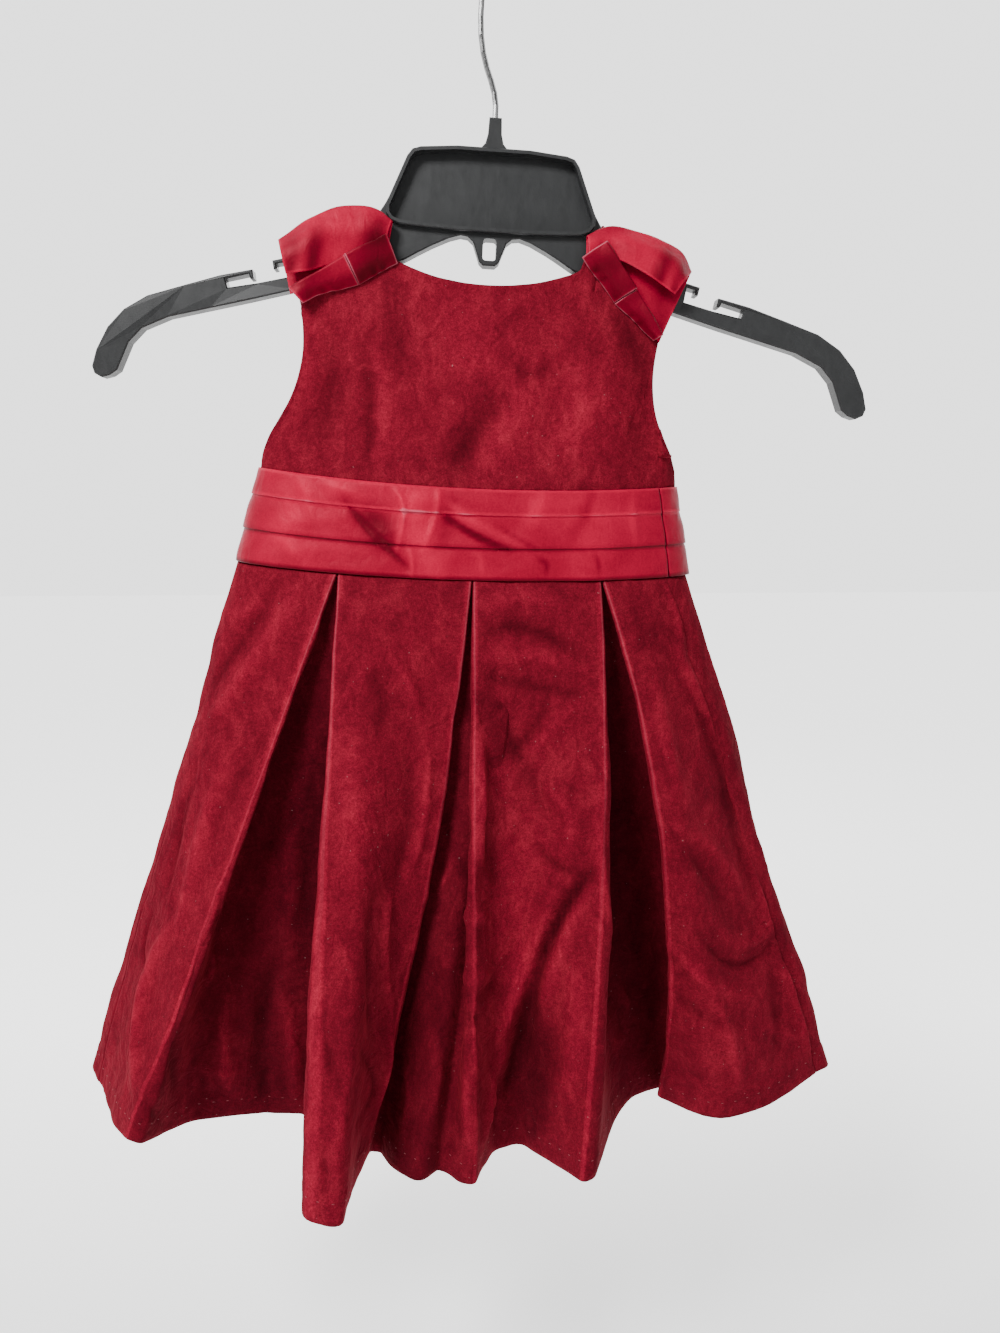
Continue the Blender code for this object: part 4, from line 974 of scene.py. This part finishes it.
def shell(name, grid, uv, wall, look, tone):
    """A thin sheet of cloth about a grid of points; tone is the painted shade and highlight of its creases.
    """
    normal = surface_normals(grid)
    rows, cols = grid.shape[:2]
    half = rows * cols
    verts = np.concatenate(((grid + normal * wall / 2).reshape(-1, 3),
                            (grid - normal * wall / 2).reshape(-1, 3))) * MM
    index = np.arange(half).reshape(rows, cols)
    a, b, c, d = (index[:-1, :-1].ravel(), index[:-1, 1:].ravel(),
                  index[1:, 1:].ravel(), index[1:, :-1].ravel())
    outer = np.stack([a, b, c, d], axis=1)
    inner = np.stack([a, d, c, b], axis=1) + half
    rim = np.concatenate((index[0, :-1], index[:-1, -1], index[-1, :0:-1], index[:0:-1, 0]))
    after = np.roll(rim, -1)
    edge = np.stack([rim, rim + half, after + half, after], axis=1)
    return finish_mesh(name, verts, np.concatenate((outer, inner, edge)),
                       np.tile(uv.reshape(-1, 2), (2, 1)), look, np.tile(tone.ravel(), 2))


def tube(name, stations, look, tone):
    """Closed section carried along stations (stations, section points, 3)."""
    count, size = stations.shape[:2]
    index = np.arange(count * size).reshape(count, size)
    after = np.roll(index, -1, axis=1)
    sides = np.stack([index[:-1], after[:-1], after[1:], index[1:]], axis=-1).reshape(-1, 4)
    down = run_along(stations, 1)
    over = run_along(stations.mean(axis=1))[:, None] + 0.0 * down
    uv = np.stack([over, down], axis=-1).reshape(-1, 2)
    item = finish_mesh(name, stations.reshape(-1, 3) * MM, sides, uv, look, tone.ravel())
    with edited(item.data) as work:
        bmesh.ops.holes_fill(work, edges=[e for e in work.edges if e.is_boundary], sides=0)
        bmesh.ops.recalc_face_normals(work, faces=work.faces)
    return item


def stitched_line(name, points, outward, look):
    """Short raised stitches at an even pitch along a line of surface points."""
    run = run_along(points)
    at = np.arange(2.0, run[-1] - 2.0 - STITCH_LENGTH, STITCH_PITCH)

    def read(table, shift):
        return np.stack([np.interp(at + shift, run, table[:, k]) for k in range(3)], axis=1)

    starts, ends, outward = read(points, 0.0), read(points, STITCH_LENGTH), read(outward, 0.0)
    outward = outward / np.linalg.norm(outward, axis=1, keepdims=True)
    thread = (ends - starts) / np.linalg.norm(ends - starts, axis=1, keepdims=True)
    aside = np.cross(outward, thread) * STITCH_HALF_WIDTH
    lift = outward * STITCH_RISE
    verts = np.concatenate([spot + side * aside + rise * lift - (1.0 - rise) * outward * STITCH_ROOT
                            for spot in (starts, ends)
                            for side, rise in ((-1.0, 0.0), (-0.7, 1.0), (0.7, 1.0), (1.0, 0.0))])
    one = np.arange(8) * len(at)
    quads = np.array([(0, 1, 2, 3), (7, 6, 5, 4), (0, 4, 5, 1), (1, 5, 6, 2), (2, 6, 7, 3), (3, 7, 4, 0)])
    faces = np.concatenate([one[quads] + k for k in range(len(at))])
    return finish_mesh(name, verts * MM, faces, verts[:, :2], look, np.zeros(len(verts)))


# -------------------------------------------------------------- materials
class Nodes:
    """Short way to write the shader tree of a material or of the world."""

    def __init__(self, owner, shader="Principled BSDF"):
        owner.use_nodes = True
        self.owner = owner
        self.tree = owner.node_tree
        self.shader = self.tree.nodes[shader]

    def feed(self, node, inputs):
        """Set inputs to numbers and colours, or link them to other nodes."""
        for key, value in inputs.items():
            if isinstance(value, bpy.types.NodeSocket):
                self.tree.links.new(value, node.inputs[key])
            else:
                node.inputs[key].default_value = value

    def add(self, kind, inputs, output, **settings):
        """Make a node, feed its inputs and give back one output."""
        node = self.tree.nodes.new(kind)
        for key, value in settings.items():
            setattr(node, key, value)
        self.feed(node, inputs)
        return node.outputs[output]

    def finished(self, inputs):
        """Feed the shader itself and give back the material or the world."""
        self.feed(self.shader, inputs)
        return self.owner

    def coords(self, kind, *scale):
        source = self.add("ShaderNodeTexCoord", {}, kind)
        return self.add("ShaderNodeMapping", {"Vector": source, "Scale": scale}, "Vector")

    def noise(self, vector, scale, detail=3.0, rough=0.55, distortion=0.0):
        return self.add("ShaderNodeTexNoise", {"Vector": vector, "Scale": scale, "Detail": detail,
                                               "Roughness": rough, "Distortion": distortion}, "Fac")

    def ramp(self, factor, *stops):
        """Colour ramp; a stop is a place and one grey value, or a place and red, green, blue."""
        node = self.tree.nodes.new("ShaderNodeValToRGB")
        marks = node.color_ramp.elements
        marks[0].position = stops[0][0]
        marks[1].position = stops[-1][0]
        for stop in stops[1:-1]:
            marks.new(stop[0])
        for mark, (_, *colour) in zip(marks, stops):
            mark.color = (colour * 3)[:3] + [1.0]
        self.feed(node, {"Fac": factor})
        return node.outputs["Color"]

    def math(self, operation, a, b=0.0):
        return self.add("ShaderNodeMath", {0: a, 1: b}, "Value", operation=operation)

    def mix(self, factor, a, b, blend="MIX"):
        return self.add("ShaderNodeMix", {0: factor, 6: a, 7: b}, 2, data_type="RGBA", blend_type=blend)

    def times(self, colour, *others):
        """Colours multiplied together."""
        for other in others:
            colour = self.mix(1.0, colour, other, "MULTIPLY")
        return colour

    def spread(self, value, low, high, to_low=0.0, to_high=1.0):
        """Soft step that takes one range of values to another."""
        ranges = {"From Min": low, "From Max": high, "To Min": to_low, "To Max": to_high}
        return self.add("ShaderNodeMapRange", {"Value": value, **ranges}, "Result",
                        interpolation_type="SMOOTHSTEP")

    def tone(self):
        """Painted shading tone of the creases."""
        return self.add("ShaderNodeAttribute", {}, "Fac", attribute_name="painted_shading")

    def painted_shading(self, low, high):
        """Factor from the pressed creases: painted shade in troughs, painted highlight on ridges."""
        return self.ramp(self.spread(self.tone(), -1.0, 1.0),
                         (0.0, low), (0.25, (low + 1.0) / 2.0), (0.5, 1.0), (1.0, high))

    def painted_edge_highlight(self, base, amount, *pale):
        """Painted highlight: paler line where the painted shading tone is highest, along pressed folds and
        borders.
        """
        return self.mix(self.spread(self.tone(), 1.1, 2.0, 0.0, amount), base, (*pale, 1))

    def bump(self, height, strength, distance, below=None):
        """Raised grain, over another bump where one is given."""
        inputs = {"Height": height, "Strength": strength, "Distance": distance}
        if below is not None:
            inputs["Normal"] = below
        return self.add("ShaderNodeBump", inputs, "Normal")


def velvet_look():
    """Short cotton pile: dark red face, brushed smudges, painted highlight on crease ridges and painted shade
    in troughs, a little lint.
    """
    n = Nodes(bpy.data.materials.new("velvet_pile"))
    space = n.coords("Object", 1.0, 1.0, 1.0)
    streak = n.coords("Object", 1.0, 1.0, 0.55)
    cloud = n.noise(streak, 34.0, 5.0, 0.62, 0.9)
    brush = n.noise(streak, 120.0, 4.0, 0.60, 1.1)
    wrinkle = n.noise(n.coords("Object", 0.8, 1.0, 1.25), 60.0, 3.0, 0.5, 1.6)
    pile = n.noise(space, 1500.0, 2.5, 0.7)
    twill = n.noise(space, 620.0, 2.0, 0.6)
    smudge = n.math("ADD", n.math("MULTIPLY", cloud, 0.50), n.math("MULTIPLY", brush, 0.50))
    ridge = n.math("ABSOLUTE", n.math("SUBTRACT", n.noise(streak, 21.0, 2.5, 0.5, 1.8), 0.5))
    ridge = n.math("ADD", ridge, n.math("MULTIPLY", n.noise(space, 26.0, 1.0, 0.4), 0.05))
    rubbed = n.ramp(ridge, (0.014, 1.14), (0.030, 1.04), (0.060, 0.98))
    colour = n.ramp(smudge, (0.36, 0.0860, 0.0028, 0.0088), (0.50, 0.1200, 0.0040, 0.0121),
                    (0.64, 0.1620, 0.0070, 0.0170))
    speck = n.ramp(pile, (0.30, 0.66, 0.62, 0.62), (0.52, 1.0), (0.74, 1.38, 1.60, 1.50))
    grain = n.ramp(twill, (0.34, 0.84), (0.66, 1.14))
    lint = n.ramp(n.noise(space, 560.0, 1.0, 0.4), (0.790, 0.0), (0.815, 1.0))
    # The crease factor and the edge line paint shade and highlight into the colour.
    base = n.times(colour, speck, grain, rubbed, n.painted_shading(0.34, 1.60))
    base = n.painted_edge_highlight(base, 0.32, 0.46, 0.12, 0.15)
    soft = n.bump(n.ramp(ridge, (0.0, 1.0), (0.10, 0.0)), 0.30, 0.0009)
    soft = n.bump(smudge, 0.30, 0.0010, n.bump(wrinkle, 0.60, 0.0030, soft))
    return n.finished({
        "Base Color": n.mix(n.math("MULTIPLY", lint, 0.35), base, (0.30, 0.16, 0.16, 1)),
        "Roughness": 0.92,
        "Normal": n.bump(pile, 0.35, 0.00020, soft),
        "Sheen Weight": 0.16,
        "Sheen Roughness": 0.38,
        "Sheen Tint": (0.90, 0.05, 0.09, 1),
        "Specular IOR Level": 0.03,
    })


def satin_look(name, depth):
    """Matt satin: fine floats across, soft gloss, slight puckers; depth below 1 darkens the whole colour to
    paint shade.
    """
    n = Nodes(bpy.data.materials.new(name))
    floats = n.add("ShaderNodeTexWave", {"Vector": n.coords("UV", 1.0, 1.0, 1.0), "Scale": 900.0,
                                         "Distortion": 0.6}, "Fac", wave_type="BANDS", bands_direction="Y")
    space = n.coords("Object", 1.0, 1.0, 1.4)
    cloud = n.noise(space, 42.0, 3.0, 0.5, 0.8)
    pucker = n.noise(n.coords("Object", 1.0, 1.0, 0.6), 150.0, 2.0, 0.5, 0.7)
    weave = n.noise(space, 900.0, 2.0, 0.6)
    # depth scales the colour down for the darker copies: painted shade.
    colour = n.ramp(cloud, (0.30, 0.1980 * depth, 0.0020 * depth, 0.0155 * depth),
                    (0.70, 0.2720 * depth, 0.0030 * depth, 0.0222 * depth))
    # The crease factor and the edge line paint shade and highlight into the colour.
    base = n.times(colour, n.ramp(weave, (0.30, 0.88), (0.70, 1.12)), n.painted_shading(0.28, 1.46))
    return n.finished({
        "Base Color": n.painted_edge_highlight(base, 0.34, 0.62, 0.18, 0.24),
        "Roughness": n.ramp(pucker, (0.25, 0.40), (0.75, 0.54)),
        "Normal": n.bump(floats, 0.10, 0.00008, n.bump(pucker, 0.45, 0.0011)),
        "Specular IOR Level": 0.32,
        "Specular Tint": (1.0, 0.10, 0.16, 1),
    })


def plastic_look():
    """Moulded black plastic: fine spark grain, faint scuffs."""
    n = Nodes(bpy.data.materials.new("moulded_plastic"))
    grain = n.noise(n.coords("Object", 1.0, 1.0, 1.0), 1300.0, 2.0, 0.5)
    scuff = n.noise(n.coords("Object", 1.0, 1.0, 0.4), 210.0, 5.0, 0.65, 0.5)
    return n.finished({
        "Base Color": n.ramp(scuff, (0.30, 0.0112, 0.0116, 0.0120), (0.80, 0.0145, 0.0150, 0.0155)),
        "Roughness": n.ramp(scuff, (0.30, 0.38), (0.75, 0.48)),
        "Normal": n.bump(grain, 0.16, 0.0001),
        "Specular IOR Level": 0.32,
    })


def wire_look():
    """Drawn steel wire of the hook."""
    n = Nodes(bpy.data.materials.new("drawn_wire"))
    draw = n.noise(n.coords("Object", 1.0, 1.0, 0.06), 1400.0, 2.0, 0.5)
    return n.finished({
        "Base Color": n.ramp(draw, (0.2, 0.16), (0.8, 0.27)),
        "Roughness": n.ramp(draw, (0.2, 0.24), (0.8, 0.38)),
        "Metallic": 1.0,
    })


def button_look():
    """Dyed button with a faint swirl."""
    n = Nodes(bpy.data.materials.new("dyed_button"))
    swirl = n.noise(n.coords("Object", 1.0, 1.0, 1.0), 380.0, 4.0, 0.6, 2.0)
    return n.finished({
        "Base Color": n.ramp(swirl, (0.30, 0.0900, 0.0030, 0.0070), (0.75, 0.1450, 0.0060, 0.0120)),
        "Roughness": 0.26,
        "Normal": n.bump(swirl, 0.08, 0.0002),
    })


def thread_look():
    """Sewing thread, a shade lighter than the cloth."""
    n = Nodes(bpy.data.materials.new("sewing_thread"))
    twist = n.noise(n.coords("Object", 1.0, 1.0, 1.0), 2600.0, 1.0)
    return n.finished({
        "Base Color": n.ramp(twist, (0.3, 0.1300, 0.0060, 0.0130), (0.7, 0.2100, 0.0160, 0.0260)),
        "Roughness": 0.6,
    })


def floor_look():
    """Plain pale studio floor that glows brighter towards the back: painted light from its emission."""
    n = Nodes(bpy.data.materials.new("pale_floor"))
    space = n.coords("Object", 1.0, 1.0, 1.0)
    back = n.add("ShaderNodeSeparateXYZ", {"Vector": space}, "Y")
    return n.finished({
        "Base Color": n.ramp(n.noise(space, 4.0, 2.0), (0.2, 0.88), (0.8, 0.90)),
        "Roughness": 0.95,
        "Specular IOR Level": 0.0,
        "Emission Color": (1.0, 1.0, 1.0, 1),
        # Painted glow: the floor emits light, more towards the back.
        "Emission Strength": n.spread(back, -0.15, 0.7, 0.05, 1.50),
    })


def studio_world():
    """Soft white light all round, brighter from the back."""
    n = Nodes(bpy.data.worlds.new("studio"), "Background")
    back = n.add("ShaderNodeSeparateXYZ", {"Vector": n.add("ShaderNodeTexCoord", {}, "Generated")}, "Y")
    return n.finished({"Color": (1.0, 1.0, 1.0, 1), "Strength": n.spread(back, -0.15, 0.45, 0.30, 2.30)})


# ---------------------------------------------------------------- bodice
def body_point(x, level, out=0.0, back=False):
    """Point of the cloth by its distance from the centre line and its level."""
    quarter = quarter_at(abs(x), level)
    if back:
        quarter = 2.0 - quarter
    px, py = ring(quarter * (1.0 if x >= 0 else -1.0), level, out)
    return place(px, py, level)


def dress_bodice(look):
    """Velvet panels of the bodice, with their seam turnings and piped top edge."""
    for name, top, side, lift, creases in (
            ("bodice_front", front_top_line(), 1.0, None, BODICE_CREASES),
            ("bodice_back_right", back_top_line(1.0), 1.0, overlap_lift(1.0), BODICE_BACK_RIGHT_CREASES),
            ("bodice_back_left", back_top_line(-1.0), -1.0, overlap_lift(-1.0), BODICE_BACK_LEFT_CREASES)):
        grid, normal = panel(top, side, lift)
        normal = softened(facing_out(grid, normal), 9)
        offset = sum(ripple(grid, *wave) for wave in BODICE_WAVES)
        back = name != "bodice_front"
        height, tone = pressed(grid, creases, lambda x, level: body_point(x, level, 0.0, back))
        rows = np.linalg.norm(grid - grid[-1:], axis=-1)
        offset = (offset + height) * np.clip(rows / 14.0, 0.0, 1.0)
        behind = np.clip((grid[..., 2] - grid[3:4, :, 2]) / 12.0, 0.0, 1.0)
        offset = offset * behind
        piped = sum(ridge(rows, *row) for row in PIPING)
        grid = grid + normal * (offset + piped * behind)[..., None]
        quarter = side * column_feet(top)[None, :] + 0.0 * rows
        uv = np.stack([quarter * waist_quarter(), grid[..., 2]], axis=-1)
        grid, uv, tone = turned_in(grid, uv, tone, np.clip(rows / 12.0 - 0.2, 0.02, 1.0))
        item = shell(name + "_cloth", grid, uv, VELVET, look, tone)
        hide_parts(name)
        yield name, item


# ------------------------------------------------------------------ sash
def sash_profile():
    """Section of the sash: three soft tiers, each lapping over the next."""
    spots = []
    for (top, low, out0, out1) in ((-281.0, -295.2, 1.95, 2.95), (-295.4, -314.0, 2.05, 3.15),
                                   (-314.2, -332.8, 2.15, 3.05)):
        for u in np.linspace(0.0, 1.0, 9):
            bulge = 0.30 * math.sin(math.pi * u)**0.8
            spots.append((out0 + (out1 - out0) * u + bulge, top + (low - top) * u))
        spots.append((out1 - 0.28, low - 0.42))
        spots.append((out1 - 0.75, low - 0.25))
    spots += [(1.6, -333.2), (0.95, -333.2), (0.95, -313.8), (0.95, -295.0), (0.95, -281.0)]
    return np.array(spots)


def dress_sash(look):
    """Satin sash in three pieces, puffed between its pressed laps."""
    over = PLACKET_HALF / waist_quarter()
    gap = 3.0 * SEAM_GAP
    left = columns(SEAM_LEFT - gap, -(CENTRE_BACK - over - 0.006), 190)
    section = sash_profile()
    for name, across, lift in (
            ("sash_front", columns(SEAM_LEFT + gap, SEAM_RIGHT - gap, 360), None),
            ("sash_back_right", columns(SEAM_RIGHT + gap, CENTRE_BACK + over, 190), overlap_lift(1.0)),
            ("sash_back_left", left, overlap_lift(-1.0))):
        shape = (len(across), len(section))
        out, level = (np.broadcast_to(section[None, :, k], shape) for k in (0, 1))
        quarter = np.broadcast_to(across[:, None], shape)
        soft = np.clip((out - 1.7) / 0.8, 0.0, 1.0)
        if lift is not None:
            out = out + lift(quarter, level)
        spots = place(*ring(quarter, level, out), level)
        puff = ripple(spots * np.array([1.0, 1.0, 2.2]), 46.0, 0.30, 31)
        puff += ripple(spots * np.array([1.0, 1.0, 1.6]), 17.0, 0.10, 32)
        back = name != "sash_front"
        height, tone = pressed(spots, SASH_BACK_CREASES if back else SASH_CREASES,
                               lambda x, level: body_point(x, level, 2.5, back))
        puff += height
        # Painted highlight and shadow lines along the laps.
        for line in SASH_LINES:
            tone += ridge(level, *line)
        spots = place(*ring(quarter, level, out + puff * soft), level)
        item = tube(name + "_satin", spots, look, tone)
        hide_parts(name)
        yield name, item


# ----------------------------------------------------------------- skirt
def skirt_cloth(folds, rows, straight):
    """Fine skirt surface with its face weight and the number of its fold line."""
    quarter_length = waist_quarter()
    fine = np.linspace(0.0, 1.0, FOLD_POINTS)
    lines = []
    for number, (waist, layer, hem_x, hem_y, mid_x, mid_y) in enumerate(folds):
        x, y = ring(waist / quarter_length, SKIRT_TOP_LEVEL, LAYER[layer])
        start = place(x, y, SKIRT_TOP_LEVEL)
        swell = 4.0 * fine * (1.0 - fine)
        px = start[0] + (hem_x - start[0]) * fine + mid_x * swell
        py = start[1] + (hem_y - start[1]) * fine + mid_y * swell
        flat = np.hypot(np.diff(px), np.diff(py))
        step = SKIRT_LENGTH / (FOLD_POINTS - 1)
        fall = np.sqrt(np.maximum(step**2 - flat**2, (0.3 * step)**2))
        pz = start[2] - np.concatenate(([0.0], np.cumsum(fall)))
        face = {1: 1.0, 2: 0.45, 3: 0.0}[layer] + 0.0 * fine
        path = (px, py, pz, face, number + 0.0 * fine)
        lines.append(np.stack([np.interp(rows, fine, column) for column in path], axis=1))
    return np.swapaxes(cut_corners(np.stack(lines), straight), 0, 1)


def cloth_spot(layered, fold, down):
    """Point of the cloth at a fold line's number and a length down."""
    line = layered[int(round(down / SKIRT_LENGTH * (len(layered) - 1)))]
    return line[int(np.argmin(np.abs(line[:, 3] - LAYER_APART * fold)))]


def dress_skirt(look, thread):
    """Velvet skirt panels with pressed pleats, a turned hem and its stitches."""
    for name, folds, creases, rows in (
            ("skirt_front", FRONT_FOLDS, SKIRT_CREASES, 122),
            ("skirt_back_right", back_folds(1), BACK_CREASES_RIGHT, 100),
            ("skirt_back_left", back_folds(-1), BACK_CREASES_LEFT, 100)):
        data = skirt_cloth(folds, np.linspace(0.0, 1.0, rows), 4)
        grid = data[..., :3]
        face = data[..., 3]
        down = np.linspace(0.0, SKIRT_LENGTH, rows)[:, None]
        near = np.clip(down / WAVES_GROW, 0.0, 1.0)
        offset = sum(ripple(grid, *wave) * near for wave in SKIRT_WAVES)
        small = ripple(grid * np.array([1.0, 1.0, 0.7]), 15.0, 0.5, 23) + ripple(grid, 22.0, 0.5, 24)
        offset = offset + 0.45 * (0.6 - np.abs(small)) * near
        layered = np.concatenate([grid, LAYER_APART * data[..., 4:5]], axis=-1)
        height, tone = pressed(layered, creases, lambda fold, length: cloth_spot(layered, fold, length))
        # Painted shade on the hidden layers of the pleats.
        tone = tone - HIDDEN_SHADE * (1.0 - face)
        room = np.clip((down - 130.0) / 80.0, 0.0, 1.0)
        height = np.maximum(height, -0.9 - 6.0 * room * room)
        offset = (offset * (0.15 + 0.85 * face) + height) * openness(grid, 5)
        # Painted highlight along the pressed outer folds, fainter towards the hem.
        fold_highlight = FOLD_HIGHLIGHT * (1.0 - 0.35 * down / SKIRT_LENGTH)
        tone = tone + (fold_highlight - tone) * pleat_edges(grid, face, FOLD_REACH)
        offset = offset + sum(ridge(SKIRT_LENGTH - down, *row) for row in HEM_FOLD)
        over = run_along(grid[-1])[None, :] + 0.0 * down
        uv = np.stack([over, -down + 0.0 * over], axis=-1)
        normal = softened(facing_out(grid, surface_normals(grid)), 3)
        away = (grid - grid.mean(axis=(0, 1))) * np.array([1.0, 1.0, 0.0])
        away = away / np.linalg.norm(away, axis=-1, keepdims=True)
        grid = grid + normal * offset[..., None] - away * (HIDDEN_IN * (1.0 - face) * near)[..., None]
        hem_row = int(round((1.0 - STITCH_UP / SKIRT_LENGTH) * (rows - 1)))
        surface = facing_out(grid, surface_normals(grid))[hem_row]
        sewn = stitched_line(name + "_hem_stitches", grid[hem_row] + surface * SKIRT_VELVET / 2,
                             surface, thread)
        grid, uv, tone = turned_in(grid, uv, tone, np.ones(over.shape))
        item = shell(name + "_cloth", grid, uv, SKIRT_VELVET, look, tone)
        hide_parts(name)
        yield name, item
        yield name + "_stitches", sewn


# ------------------------------------------------------------------ bows
def dress_bows(looks_by_side):
    """Satin loop, band and knot on each shoulder, gathered towards the knot."""
    for side, loop, band, knot in (("left", LOOP_LEFT, BAND_LEFT, KNOT_LEFT),
                                   ("right", LOOP_RIGHT, BAND_RIGHT, KNOT_RIGHT)):
        looks = looks_by_side[side]
        for part, rows, chain, stations, straight in (("loop", loop, loop_controls, 72, 9),
                                                      ("band", band, band_controls, 48, 7),
                                                      ("knot", knot, band_controls, 48, 7)):
            grid = station_grid(rows, stations, chain, straight)
            across = np.linspace(0.0, 1.0, grid.shape[1])[None, :]
            place_at = np.linspace(0.0, 1.0, stations)[:, None]
            gather = ridge(across, 0.0, 0.22, 1.0) + ridge(1.0 - across, 0.0, 0.12, 1.0)
            pleat = np.sin(place_at * 17.0 + 2.1 * np.sin(place_at * 7.0 + across * 3.0)) * gather
            offset = ripple(grid, 26.0, 0.30, 41) + 0.16 * pleat
            grid = grid + surface_normals(grid) * offset[..., None]
            down = run_along(grid, 0)
            over = run_along(grid, 1)
            edge = np.minimum(np.minimum(over, over[:, -1:] - over), np.minimum(down, down[-1:] - down))
            # Painted highlight along the borders of each piece, fainter on the loops.
            border_highlight = ridge(edge, 0.0, BORDER_REACH, BORDER_HIGHLIGHT) * (LOOP_BORDER if part == "loop" else 1.0)
            name = "bow_%s_%s" % (side, part)
            # The tone also paints shade and light along the gathers, over a random uneven tone.
            item = shell(name + "_satin", grid, np.stack([over, down], axis=-1), SATIN, looks[part],
                         0.4 * pleat + 0.35 * ripple(grid, 30.0, 1.0, 43) + border_highlight)
            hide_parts(name)
            yield name, item


# ---------------------------------------------------------- hard pieces
def carried(node, look, sharp=32.0):
    """Show a hard node as built, with its own finish and crisp corners."""
    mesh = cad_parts[node].data
    mesh.materials.clear()
    mesh.materials.append(look)
    with edited(mesh) as work:
        for face in work.faces:
            face.smooth = True
        for edge in work.edges:
            edge.smooth = len(edge.link_faces) == 2 and edge.calc_face_angle(0.0) < math.radians(sharp)


# ------------------------------------------------------- floor and light, m
def studio_floor(level, half=6.0):
    """Wide plain floor at the given height."""
    mesh = bpy.data.meshes.new("floor")
    corners = ((-half, -half), (half, -half), (half, half), (-half, half))
    mesh.from_pydata([(x, y, level) for x, y in corners], [], [(0, 1, 2, 3)])
    mesh.materials.append(floor_look())
    return placed("floor", mesh)


def studio_lamp(name, place_at, aim, width, power):
    """Soft square lamp that points at a spot of the dress."""
    light = bpy.data.lights.new(name, "AREA")
    light.size = width
    light.energy = power
    item = placed(name, light)
    item.location = place_at
    item.rotation_euler = (Vector(aim) - Vector(place_at)).to_track_quat("-Z", "Y").to_euler()


# ------------------------------------------------------------ the dress
velvet = velvet_look()
satin = satin_look("satin_weave", 1.0)
made = dict(dress_bodice(velvet))
made.update(dress_sash(satin))
made.update(dress_skirt(velvet, thread_look()))
# Darker copies of the satin for bow pieces in shade: painted shade.
shaded = satin_look("satin_shaded", 0.40)
turned = satin_look("satin_band_shaded", 0.60)
made.update(dress_bows({"left": {"loop": satin, "band": turned, "knot": shaded},
                        "right": {"loop": satin, "band": shaded, "knot": shaded}}))
carried("hanger_body", plastic_look())
carried("hanger_hook", wire_look())
button = button_look()
for number in range(1, 5):
    carried("button_%d" % number, button)

# ----------------------------------------------------------- the studio
low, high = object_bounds()
floor = studio_floor(float(low[2]) - 0.28)
bpy.context.scene.world = studio_world()
studio_lamp("key", (-0.62, -0.86, 0.48), (-0.03, 0.0, -0.34), 0.38, 34.0)
studio_lamp("fill", (0.75, -1.25, 0.20), (-0.03, 0.0, -0.30), 0.9, 5.0)
studio_lamp("back", (0.3, 1.3, 0.5), (-0.03, 0.0, -0.42), 0.9, 12.0)

camera = placed("camera", bpy.data.cameras.new("camera"))
camera.data.lens = 27.0
camera.data.sensor_width = 36.0
camera.data.clip_start = 0.01
camera.location = (-0.0280, -0.5944, -0.2880)
camera.rotation_euler = (math.radians(80.0), 0.0, math.radians(-2.5))
bpy.context.scene.camera = camera
